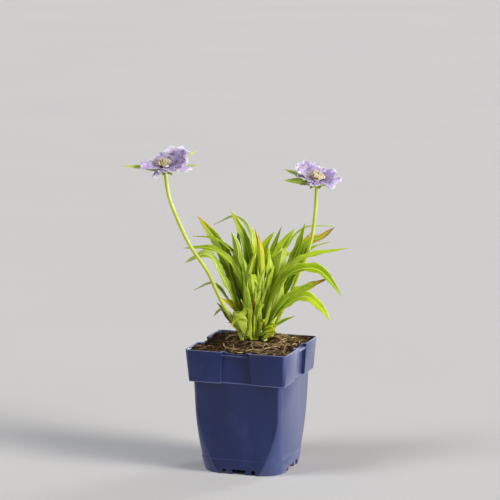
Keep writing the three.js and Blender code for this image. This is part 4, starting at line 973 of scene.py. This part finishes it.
def floret_tissue(settings):
    """The small centre florets: greenish at the foot, cream at the mouth, dusted with pollen."""
    made, tree, place = new_material("floret_tissue")
    read = {}
    for key in ("tone", "shade", "ripe"):
        read[key] = add(tree, READ, {"attribute_name": key}).outputs["Fac"]
    opened = add(tree, MATH, MULTIPLY, {0: add(tree, RANGE, SOFT, {0: read["tone"], 1: 0.1, 2: 0.7}),
                                        1: add(tree, RANGE, {}, {0: read["ripe"], 3: 0.55})})
    violet = add(tree, RANGE, {}, {0: read["shade"], 1: 0.66, 2: 0.84, 4: 0.5})
    pollen = add(tree, NOISE, {}, {"Vector": place, "Scale": 900.0, "Detail": 3.0}).outputs[0]
    pollen = add(tree, RANGE, {}, {0: pollen, 1: 0.48, 2: 0.66, 4: 0.7})
    colour = settings.floret_base
    for mask, tint in (
        (opened, settings.floret_mouth), (violet, settings.floret_violet), (pollen, settings.pollen),
    ):
        colour = add(tree, MIX, COLOURS, {"Factor": mask, "A": colour, "B": tint})
    grain = add(tree, NOISE, {}, {"Vector": place, "Scale": 2200.0, "Detail": 2.0}).outputs[0]
    bump = add(tree, BUMP, {}, {"Strength": 0.3, "Distance": 0.0002, "Height": grain})
    return close_material(made, {
        "Base Color": colour, "Roughness": 0.7, "Normal": bump, "Specular IOR Level": 0.3,
        "Subsurface Weight": 0.3, "Subsurface Radius": (1.0, 0.9, 0.6), "Subsurface Scale": 0.001})


def plant_hair(settings):
    """Fine plant hair: short, pale and nearly white at the tip."""
    made, tree, _ = new_material("plant_hair")
    tone = add(tree, READ, {"attribute_name": "tone"}).outputs["Fac"]
    colour = add(tree, MIX, COLOURS, {"Factor": tone, "A": settings.stem_high, "B": settings.hair_tip})
    return close_material(made, {"Base Color": colour, "Roughness": 0.6})


def studio_paper(settings):
    """A seamless paper floor: plain, pale and dull."""
    made, tree, place = new_material("studio_paper")
    mottle = add(tree, NOISE, {}, {"Vector": place, "Scale": 3.0, "Detail": 1.0}).outputs[0]
    colour = add(tree, MIX, COLOURS, {"Factor": mottle, "A": settings.floor, "B": settings.mottle})
    return close_material(made, {"Base Color": colour, "Roughness": 0.9})


# The settings


def paint(name, words, hex_colour):
    """A colour setting, with its sRGB default."""
    return FloatVectorProperty(name=name, description=words, subtype="COLOR", size=4, min=0, max=1,
                               default=linear(hex_colour))


class PotSettings(bpy.types.PropertyGroup):
    """The pot's finish"""

    colour: paint("Colour", "The pot's plastic", "#0e1f50")
    colour_worn: paint("Streak Colour", "The soft upright streaks of the moulding", "#16275c")
    faded: paint("Faded Colour", "Faint patches where the plastic has faded", "#6f7aa6")
    # Painted highlight colour: the pale line along the rim and band edge, and the painted sheen on the corner
    # facets
    highlighted: paint("Painted Highlight Colour", "Edges and corner facets that have been rubbed", "#7c87b4")
    dust: paint("Dust Colour", "Peat dust along the rim and the foot", "#5b4a38")
    bloom: paint("Bloom Colour", "The pale bloom that shows at a slant", "#e4e8ff")
    edge: FloatProperty(name="Edge Radius", description="Rounding of the moulded edges",
                        subtype="DISTANCE", unit="LENGTH", min=0, max=0.001, default=0.0007)


class SoilSettings(bpy.types.PropertyGroup):
    """The soil and what lies on it"""

    damp_colour: paint("Damp Colour", "Peat where it is damp", "#160e08")
    dry_colour: paint("Dry Colour", "Peat where it has dried", "#3e2a15")
    bark: paint("Bark", "Reddish bits of bark and coir", "#5e3420")
    straw: paint("Straw", "Straw-coloured bits", "#8a6a3c")
    fibre_colour: paint("Fibre Colour", "The darker strands", "#4e3719")
    root_colour: paint("Root Colour", "The palest roots", "#d2b880")
    root_stain: paint("Root Stain", "Stains on the strands", "#6b4426")
    strands: IntProperty(name="Strands", description="Fibres and roots on the soil", min=20, max=900,
                         default=420)
    crumbs: FloatProperty(name="Crumbs", description="Crumbs to a square centimetre", min=5, max=120,
                          default=44)


class PlantSettings(bpy.types.PropertyGroup):
    """The plant's sizes and colours"""

    leaf_deep: paint("Leaf, Deep", "The darkest green of a leaf", "#7c9600")
    leaf_fresh: paint("Leaf, Fresh", "The lightest green of a leaf", "#acc414")
    petiole: paint("Petiole", "The long narrow foot of a leaf", "#c8dc04")
    rib: paint("Ribs and Rims", "Midribs, veins and the rim of a leaf", "#dce868")
    underside: paint("Underside", "The underside of a leaf", "#bcc87c")
    yellowed: paint("Yellowed", "A leaf's end that has begun to age", "#d4c81c")
    amber: paint("Amber", "The next stage of ageing", "#d89848")
    scorched: paint("Scorched", "The driest edges and tips", "#884a30")
    stem_low: paint("Stem, Low", "A flower stem near the leaves", "#9aaa28")
    stem_high: paint("Stem, High", "A flower stem near the flower", "#bec640")
    petal: paint("Petal", "The petals' main colour", "#cab8dc")
    petal_deep: paint("Petal, Deep", "The petals' veins and deeper parts", "#9c86c0")
    petal_edge: paint("Petal, Edge", "The petals' edges", "#e0d8ec")
    floret_base: paint("Floret Base", "The foot of a centre floret", "#a3a14a")
    floret_mouth: paint("Floret Mouth", "The mouth of a centre floret", "#f0e6c2")
    floret_violet: paint("Floret, Violet", "The centre florets that have a violet tint", "#b8a2cf")
    pollen: paint("Pollen", "Pollen on the centre florets", "#b08f3e")
    hair_tip: paint("Hair Tip", "The tips of the stems' hairs", "#eef2d2")
    leaf_thickness: FloatProperty(
        name="Leaf Thickness", description="Thickness of a leaf at its midrib", subtype="DISTANCE",
        unit="LENGTH", min=0.0004, max=0.0016, default=0.0011)
    petal_thickness: FloatProperty(
        name="Petal Thickness", description="Thickness of a petal at its middle", subtype="DISTANCE",
        unit="LENGTH", min=0.0003, max=0.001, default=0.0006)
    hair_density: FloatProperty(name="Stem Hairs", description="Hairs to a square millimetre", min=0,
                                max=3, default=0.8)


class StageSettings(bpy.types.PropertyGroup):
    """The light and the floor"""

    key: FloatProperty(name="Key Light", description="The soft light from the right", min=0, default=1.9)
    side: FloatProperty(name="Side Light", description="The low light from the right", min=0, default=3.2)
    rim: FloatProperty(name="Rim Light", description="The low light from behind on the right", min=0,
                       default=4.0)
    fill: FloatProperty(name="Fill Light", description="The dim light from above on the left", min=0,
                        default=1.2)
    sky: FloatProperty(name="Surroundings", description="Light from all round", min=0, default=0.2)
    sky_colour: paint("Surroundings Colour", "The colour of the light from all round", "#f1f3f7")
    floor: paint("Floor", "The floor's colour", "#dbdad7")
    mottle: paint("Floor Mottle", "The floor's slightly darker parts", "#d5d4d2")


# The steps


class PINCUSHION_OT_pot(bpy.types.Operator):
    """Builds the pot with rounded edges and a moulded finish"""

    bl_idname = "pincushion.pot"
    bl_label = "Nursery Pot"

    def execute(self, context):
        settings = context.scene.pincushion_pot
        piece = copy_of("pot", "pot_shell")
        piece.data.materials.clear()
        piece.data.materials.append(polypropylene(settings))
        for polygon in piece.data.polygons:
            polygon.use_smooth = True
        bevel = piece.modifiers.new("edges", "BEVEL")
        bevel.limit_method = "ANGLE"
        bevel.angle_limit = math.radians(38)
        bevel.width = settings.edge
        bevel.segments = 2
        bevel.harden_normals = True
        settle(piece)
        piece.data.set_sharp_from_angle(angle=math.radians(38))
        hand_over(piece, "pot", "pot")
        return {"FINISHED"}


class PINCUSHION_OT_soil(bpy.types.Operator):
    """Lays the soil's surface, its crumbs, and the fibres and roots on it"""

    bl_idname = "pincushion.soil"
    bl_label = "Soil and Roots"

    def execute(self, context):
        settings = context.scene.pincushion_soil
        earth, fibre = peat(settings), root_fibre(settings)
        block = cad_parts["soil"]
        block.data.materials.clear()
        block.data.materials.append(earth)

        surface = grow(self.surface(), "Relief", {"Material": earth})
        bare = surface.data.copy()
        depth = surface.modifiers.new("depth", "SOLIDIFY")
        depth.thickness, depth.offset = 0.004, -1
        settle(surface)

        crumb = self.crumb()
        crumbs = grow(placed("soil_crumbs", bare), "Scatter", {
            "Form": crumb, "Density": settings.crumbs * 1e4, "Smallest": 0.35, "Largest": 1.25,
            "Tumble": 3.1, "Seed": 7, "Material": earth})
        bpy.data.objects.remove(crumb)

        rows, shades = self.strands(settings.strands)
        strands = strand_dots("soil_fibres", rows, np.asarray, shade=shades)
        grow(strands, "Tube", {"Sides": 6, "Roughness": 0.0002, "Grain": 500.0, "Material": fibre})
        for piece in (surface, crumbs, strands):
            hand_over(piece, "soil")
        return {"FINISHED"}

    def surface(self):
        """The loose soil's level over the pot's opening, on a 0.7 mm mesh."""
        cells, half = 148, RIM_INSIDE + 0.6
        line = np.linspace(-half, half, cells + 1)
        x, y = np.meshgrid(line, line)
        # Its edge goes a little way into the wall, and its clods rise from a little lower
        room, level = inside_pot(x, y, -0.35), soil_top(x, y) - 0.2
        points = np.stack([x.ravel(), y.ravel(), level.ravel()], -1) * MM
        whole = room[:-1, :-1] & room[:-1, 1:] & room[1:, :-1] & room[1:, 1:]
        j, i = np.nonzero(whole)
        a = j * (cells + 1) + i
        faces = np.stack([a, a + 1, a + cells + 2, a + cells + 1], -1)
        used, numbered = np.unique(faces, return_inverse=True)
        mesh = bpy.data.meshes.new("soil_surface")
        mesh.from_pydata(points[used].tolist(), [], numbered.reshape(faces.shape).tolist())
        return placed("soil_surface", mesh)

    def crumb(self):
        """One rough crumb, about 1.2 mm across."""
        shape = bmesh.new()
        bmesh.ops.create_icosphere(shape, subdivisions=1, radius=0.00062)
        for i, vert in enumerate(shape.verts):
            vert.co *= 0.75 + 0.5 * spread(i, 0.3)
        mesh = bpy.data.meshes.new("crumb")
        shape.to_mesh(mesh)
        shape.free()
        return placed("crumb", mesh)

    def strands(self, count):
        """Fibres and roots, each wandering over the soil. The thicker ones are paler."""
        dice = np.random.default_rng(24)
        rows, shades = [], []
        while len(rows) < count:
            x, y = dice.uniform(-RIM_INSIDE, RIM_INSIDE, 2)
            # Most lie towards the right, where the surface has washed bare
            if dice.random() > 0.62 + 0.38 * np.clip(x / 30, -1, 1):
                continue
            length = dice.uniform(7, 18) + 16 * dice.random() ** 3
            heading, curl = dice.uniform(0, 2 * math.pi), dice.normal(0, 0.12)
            # A point about every millimetre, each a little off the last one's heading
            steps = int(length / 1.1) + 3
            spots = [(x, y)]
            for _ in range(steps - 1):
                heading += curl * length / steps + dice.normal(0, 0.24)
                x += math.cos(heading) * length / steps
                y += math.sin(heading) * length / steps
                spots.append((x, y))
            spots = np.array(spots)
            girth = dice.uniform(0.12, 0.22) + 0.36 * dice.random() ** 5
            near = np.hypot(spots[:, 0] - CROWN[0], spots[:, 1] - CROWN[1])
            if near.min() < CROWN_CLEAR or not np.all(inside_pot(spots[:, 0], spots[:, 1], 0.3 + girth)):
                continue
            t = np.linspace(0, 1, steps)
            arch = dice.uniform(0.1, 1.6) * np.sin(math.pi * t) ** 0.8
            level = soil_top(spots[:, 0], spots[:, 1]) + STRAND_RIDE + arch
            # Both ends go down into the soil
            level = level - STRAND_RIDE * (abs(2 * t - 1) ** 6)
            radii = girth * (0.5 + 0.5 * np.sin(math.pi * np.clip(t * 1.1, 0, 1)))
            rows.append((np.column_stack([spots, level]), radii))
            # The x term makes the strands darker towards the left: painted shade, where the plant and the rim
            # shade the soil
            shades.append(np.clip(dice.normal(0.14, 0.2) + (girth - 0.18) * 2.2 + x * 0.002, 0, 1))
        for index in range(ROOTS):
            path = self.root(index)
            if len(path) > 2:
                places = bend(path, 14)[0]
                rows.append((places, np.full(len(places), ROOT_RADIUS)))
                shades.append(0.7)
        return rows, shades

    def root(self, index):
        """One of the packed soil's own roots, by the same rule."""
        heading = spread(index, 0.2) * math.pi * 2
        out, length = 18 + 18 * spread(index * 3, 0.1), 14 + 12 * spread(index * 5, 0.4)
        turn = heading + 0.7 + 1.5 * spread(index * 7, 0.3)
        bow = -0.4 + 0.8 * spread(index * 11)
        start = (out * math.cos(heading), out * math.sin(heading))
        reach = (length * math.cos(turn), length * math.sin(turn))
        path = []
        for i in range(6):
            t = i / 5 - 0.5
            swing = bow * (1 - 4 * t * t)
            x = start[0] + reach[0] * t - reach[1] * swing
            y = start[1] + reach[1] * t + reach[0] * swing
            if max(abs(x), abs(y)) < RIM_HALF - 6.3:
                path.append((x, y, float(soil_top(x, y)) + STRAND_RIDE))
        return path


class PINCUSHION_OT_leaves(bpy.types.Operator):
    """Grows the five leafy shoots"""

    bl_idname = "pincushion.leaves"
    bl_label = "Leaves"

    def execute(self, context):
        settings = context.scene.pincushion_plant
        skin = leaf_blade(settings)
        for name, (at, leaves) in SHOOTS.items():
            spot = turned((*at, 0))
            ground = float(soil_height(spot[0], spot[1]))
            rows = []
            for key, (path, width, roll, *_) in enumerate(leaves):
                outward = unit(np.array([path[0][0] - at[0], path[0][1] - at[1], 0.0]))
                base = np.array([*at, ground + 2]) + outward * CROWN_RADIUS * 0.35
                rows.append(blade([base, *path], width, roll, leaf_share, rings=34, tooth=0.42, key=key))
            _, _, _, blush, scorch, pale = zip(*leaves)
            # Each shoot's painted shade, carried in the "ripe" attribute
            ripe = [SHOOT_PAINTED_SHADE.get(name, 0.0)] * len(leaves)
            midlines = blade_dots(f"{name}_blades", rows, blush=blush, scorch=scorch, pale=pale, ripe=ripe)
            piece = grow(midlines, "Blade", {
                "Points Around": 24, "Thickness": settings.leaf_thickness, "Fold": 0.46,
                "Fold Curve": 1.2, "Fold Variety": 0.35, "Rib Depth": 0.0004, "Edge Wave": 0.2,
                "Edge Wave Step": 0.34, "Material": skin})
            # The short stock that the shoot's leaves leave from
            heights = ground + np.array([-8.0, -3.0, 0.5, 2.6, 3.9])
            stock = np.column_stack([np.full(5, at[0]), np.full(5, at[1]), heights])
            radii = np.array([CROWN_RADIUS, 3.3, 3.1, 2.8, 1.9])
            crown = strand_dots(f"{name}_crown", [(stock, radii)], turned, scorch=[0.4], pale=[0.1])
            grow(crown, "Tube", {"Sides": 14, "Grooves": 5.0, "Groove Depth": 0.16, "Roughness": 0.0008,
                                 "Material": skin})
            hand_over(join(piece, crown), "leaf", name)
        return {"FINISHED"}


class PINCUSHION_OT_stems(bpy.types.Operator):
    """Draws the two flower stems, with their hairs"""

    bl_idname = "pincushion.stems"
    bl_label = "Flower Stems"

    def execute(self, context):
        settings = context.scene.pincushion_plant
        skin, down = stem_skin(settings), plant_hair(settings)
        for side, flower in FLOWERS.items():
            places, _, run = bend(flower["stem"], 90)
            radii = STEM_RADII[0] + (STEM_RADII[1] - STEM_RADII[0]) * run / run[-1]
            stem = grow(strand_dots(f"stem_{side}_skin", [(places, radii)], turned), "Tube", {
                "Sides": 28, "Grooves": 7.0, "Groove Depth": 0.045, "Roughness": 0.0006, "Grain": 140.0,
                "Material": skin})
            hand_over(stem, "stem", f"stem_{side}")
            form = spun("hair", [(0.07, -0.1), (0.04, 0.4), (0.01, 0.7)], 3)
            hairs = grow(placed(f"stem_{side}_hairs", stem.data.copy()), "Scatter", {
                "Form": form, "Density": settings.hair_density * 1e6, "Smallest": 0.6, "Largest": 1.3,
                "Tumble": 0.5, "Seed": 2, "Material": down})
            bpy.data.objects.remove(form)
            hand_over(hairs, "stem")
        return {"FINISHED"}


def head_of(flower):
    """Where a flower's head sits, just above its stem."""
    return np.array(flower["stem"][-1], float) + (0, 0, HEAD_GAP)


class PINCUSHION_OT_bracts(bpy.types.Operator):
    """Sets the green cup and its pointed bracts under each flower"""

    bl_idname = "pincushion.bracts"
    bl_label = "Bracts"

    def execute(self, context):
        settings = context.scene.pincushion_plant
        skin = leaf_blade(settings, "bract_blade")
        for side, flower in FLOWERS.items():
            top = head_of(flower)
            rows = []
            for key, (bearing, lift, length, width, roll) in enumerate(flower["bracts"]):
                base = top + direction(bearing, 0) * BRACT_ROOT[0] + (0, 0, BRACT_ROOT[1])
                tip = top + direction(bearing, lift) * length
                middle = (base + tip) / 2 + (0, 0, 0.04 * length)
                path = [base, middle, tip]
                rows.append(blade(path, width, roll, bract_share, rings=40, tooth=1.7, key=key))
            count = len(rows)
            midlines = blade_dots(
                f"bracts_{side}_blades", rows, blush=[0.32, 0.22] + [0.1] * (count - 2),
                scorch=[0.12] * count, pale=[0.5, 0.45] + [0.4] * (count - 2))
            piece = grow(midlines, "Blade", {
                "Points Around": 20, "Thickness": 0.0009, "Fold": 0.35, "Rib Depth": 0.0003,
                "Edge Wave": 0.12, "Edge Wave Step": 0.6, "Material": skin})
            profile = [(1.6, 0), (2.3, 0.7), (3.4, 1.9), (4.5, 3.1), (5.2, 4.0), (5.0, 4.2), (3.0, 4.2)]
            cup = seated(spun("cup", profile, sides=40, lobes=8, depth=0.06), top, skin)
            hand_over(join(piece, cup), "bract", f"bracts_{side}")
        return {"FINISHED"}


class PINCUSHION_OT_rays(bpy.types.Operator):
    """Opens the ring of broad outer petals of each flower"""

    bl_idname = "pincushion.rays"
    bl_label = "Ray Florets"

    def execute(self, context):
        settings = context.scene.pincushion_plant
        tissue = petal_tissue(settings)
        for side, flower in FLOWERS.items():
            centre = head_of(flower) + (0, 0, RING_RISE)
            rows = [ray(*values, centre, rings=30) for values in flower["rays"]]
            piece = grow(blade_dots(f"rays_{side}_petals", rows), "Blade", {
                "Points Around": 56, "Thickness": settings.petal_thickness, "Fold": 0.2,
                "Fold Curve": 2.0, "Fold Variety": 1.2, "Rib Depth": 0.0, "Edge Wave": 0.16,
                "Edge Wave Step": 0.8, "Tip Wave": 0.055, "Tip Wave Count": 3.8, "Frill": 0.02,
                "Lobe Depth": 0.14, "Material": tissue})
            profile = [(2.9, -1.2), (3.3, -1.0), (4.2, 0), (4.7, 0.5), (4.4, 0.7), (2.5, 0.8)]
            ring = seated(spun("ring", profile, sides=32, lobes=10, depth=0.05), centre, tissue)
            hand_over(join(piece, ring), "petal", f"rays_{side}")
        return {"FINISHED"}


class PINCUSHION_OT_florets(bpy.types.Operator):
    """Fills the middle of each flower with small tubular florets and their pins"""

    bl_idname = "pincushion.florets"
    bl_label = "Centre Florets"

    def execute(self, context):
        settings = context.scene.pincushion_plant
        tissue = floret_tissue(settings)
        for side, flower in FLOWERS.items():
            low, wide = head_of(flower) + (0, 0, DOME_RISE), 0.75 + 0.6 * flower["open"]
            profile = [(0.42, 0), (0.46, 0.4), (0.6, 0.72), (0.85, 0.88), (1.3 * wide, 1.0),
                       (1.15 * wide, 1.02), (0.62, 0.9), (0.3, 0.82)]
            tube = spun("tube", profile, sides=10, lobes=5, depth=0.3)
            lengths = (7.2, 6.4 + 1.8 * flower["open"])
            spots = self.dome(f"florets_{side}_tubes", low, flower, FLORETS, lengths, vary=3.4)
            tubes = grow(spots, "Repeat", {"Form": tube, "Material": tissue})
            bpy.data.objects.remove(tube)
            profile = [(1.4, -0.4), (2.6, 0.2), (3.4, 1.2), (3.2, 2.4), (2.0, 3.4), (0.5, 3.8)]
            heart = seated(spun("heart", profile, sides=24, lobes=8, depth=0.08), low, tissue)
            hand_over(join(tubes, heart), "floret", f"florets_{side}")

            pin = spun("pin", [(0.13, 0), (0.1, 0.84), (0.4, 0.9), (0.45, 0.97), (0.15, 1.0)], sides=6)
            spots = self.dome(f"florets_{side}_pins", low, flower, PINS, (8.8, 7.4), vary=2.2)
            pins = grow(spots, "Repeat", {"Form": pin, "Material": tissue})
            bpy.data.objects.remove(pin)
            hand_over(pins, "floret")
        return {"FINISHED"}

    def dome(self, name, low, flower, count, lengths, vary):
        """Points of a dome set by the golden angle, with the length of what stands on each."""
        index = np.arange(count)
        share = np.sqrt((index + 0.5) / count)
        leans = np.array([direction(i * 360 / GOLDEN, 86 - 66 * s) for i, s in zip(index, share)])
        leans = unit(leans + (flower["lean"], 0, 0.1))
        # Those nearer the edge differ from the middle ones, and each is a little longer or shorter
        long = lengths[0] + (lengths[1] - lengths[0]) * share + vary * (spread(index, 0.3) - 0.5)
        return dots(
            name, turned(low + leans * DOME_RADIUS) * MM, lean=turned(leans),
            size=np.stack([np.ones(count), np.ones(count), long], -1), shade=spread(index * 3, 0.15),
            ripe=np.full(count, flower["open"]))


class PINCUSHION_OT_stage(bpy.types.Operator):
    """Sets the floor, the soft lights and the camera"""

    bl_idname = "pincushion.stage"
    bl_label = "Floor, Lights and Camera"

    def execute(self, context):
        settings = context.scene.pincushion_stage
        scene = context.scene
        mesh = bpy.data.meshes.new("floor")
        shape = bmesh.new()
        bmesh.ops.create_circle(shape, cap_ends=True, segments=64, radius=FLOOR_RADIUS)
        shape.to_mesh(mesh)
        shape.free()
        mesh.materials.append(studio_paper(settings))
        placed("floor", mesh)

        world = bpy.data.worlds.new("soft_room")
        world.use_nodes = True
        world.node_tree.nodes.clear()
        sky = add(world.node_tree, "ShaderNodeBackground", {},
                  {"Color": settings.sky_colour, "Strength": settings.sky})
        add(world.node_tree, "ShaderNodeOutputWorld", {}, {"Surface": sky})
        scene.world = world
        for name, (source, softness, colour) in LIGHTS.items():
            self.light(name, source, softness, getattr(settings, name), colour)

        turn, rise = PLANT_TURN, CAMERA_RISE
        back = Vector((math.sin(turn) * math.cos(rise), -math.cos(turn) * math.cos(rise), math.sin(rise)))
        right = Vector((math.cos(turn), math.sin(turn), 0))
        data = bpy.data.cameras.new("camera")
        data.lens, data.sensor_width = CAMERA_LENS, CAMERA_SENSOR
        camera = bpy.data.objects.new("camera", data)
        pose = Matrix((right, back.cross(right), back)).transposed().to_4x4()
        pose.translation = right * CAMERA_ASIDE + Vector((0, 0, CAMERA_HEIGHT)) + back * CAMERA_AWAY
        camera.matrix_world = pose
        scene.collection.objects.link(camera)
        scene.camera = camera
        scene.view_settings.view_transform = "Standard"
        return {"FINISHED"}

    def light(self, name, source, softness, strength, colour):
        """A far, soft light from a direction, which reaches the whole floor evenly."""
        data = bpy.data.lights.new(name, "SUN")
        data.energy, data.angle = strength, math.radians(softness)
        data.color = linear(colour)[:3]
        lamp = bpy.data.objects.new(name, data)
        lamp.rotation_euler = (-Vector(source)).to_track_quat("-Z", "Y").to_euler()
        bpy.context.scene.collection.objects.link(lamp)


class PINCUSHION_PT_sidebar(bpy.types.Panel):
    """The flower's settings and the steps that build it"""

    bl_idname = "PINCUSHION_PT_sidebar"
    bl_label = "Pincushion Flower"
    bl_space_type = "VIEW_3D"
    bl_region_type = "UI"
    bl_category = "Garden"

    def draw(self, context):
        for group, cls in GROUPS.items():
            box = self.layout.box()
            box.label(text=cls.__doc__)
            for name in cls.__annotations__:
                box.prop(getattr(context.scene, group), name)
        for step in STEPS:
            self.layout.operator(f"pincushion.{step}")


STEPS = ("stage", "pot", "soil", "leaves", "stems", "bracts", "rays", "florets")
GROUPS = {
    "pincushion_pot": PotSettings, "pincushion_soil": SoilSettings, "pincushion_plant": PlantSettings,
    "pincushion_stage": StageSettings,
}
CLASSES = (
    *GROUPS.values(), PINCUSHION_OT_pot, PINCUSHION_OT_soil, PINCUSHION_OT_leaves, PINCUSHION_OT_stems,
    PINCUSHION_OT_bracts, PINCUSHION_OT_rays, PINCUSHION_OT_florets, PINCUSHION_OT_stage,
    PINCUSHION_PT_sidebar,
)


def register():
    for cls in CLASSES:
        bpy.utils.register_class(cls)
    for name, cls in GROUPS.items():
        setattr(bpy.types.Scene, name, PointerProperty(type=cls))


def unregister():
    for name in GROUPS:
        delattr(bpy.types.Scene, name)
    for cls in reversed(CLASSES):
        bpy.utils.unregister_class(cls)


def main():
    register()
    for step in STEPS:
        getattr(bpy.ops.pincushion, step)()


if __name__ == "__main__":
    main()
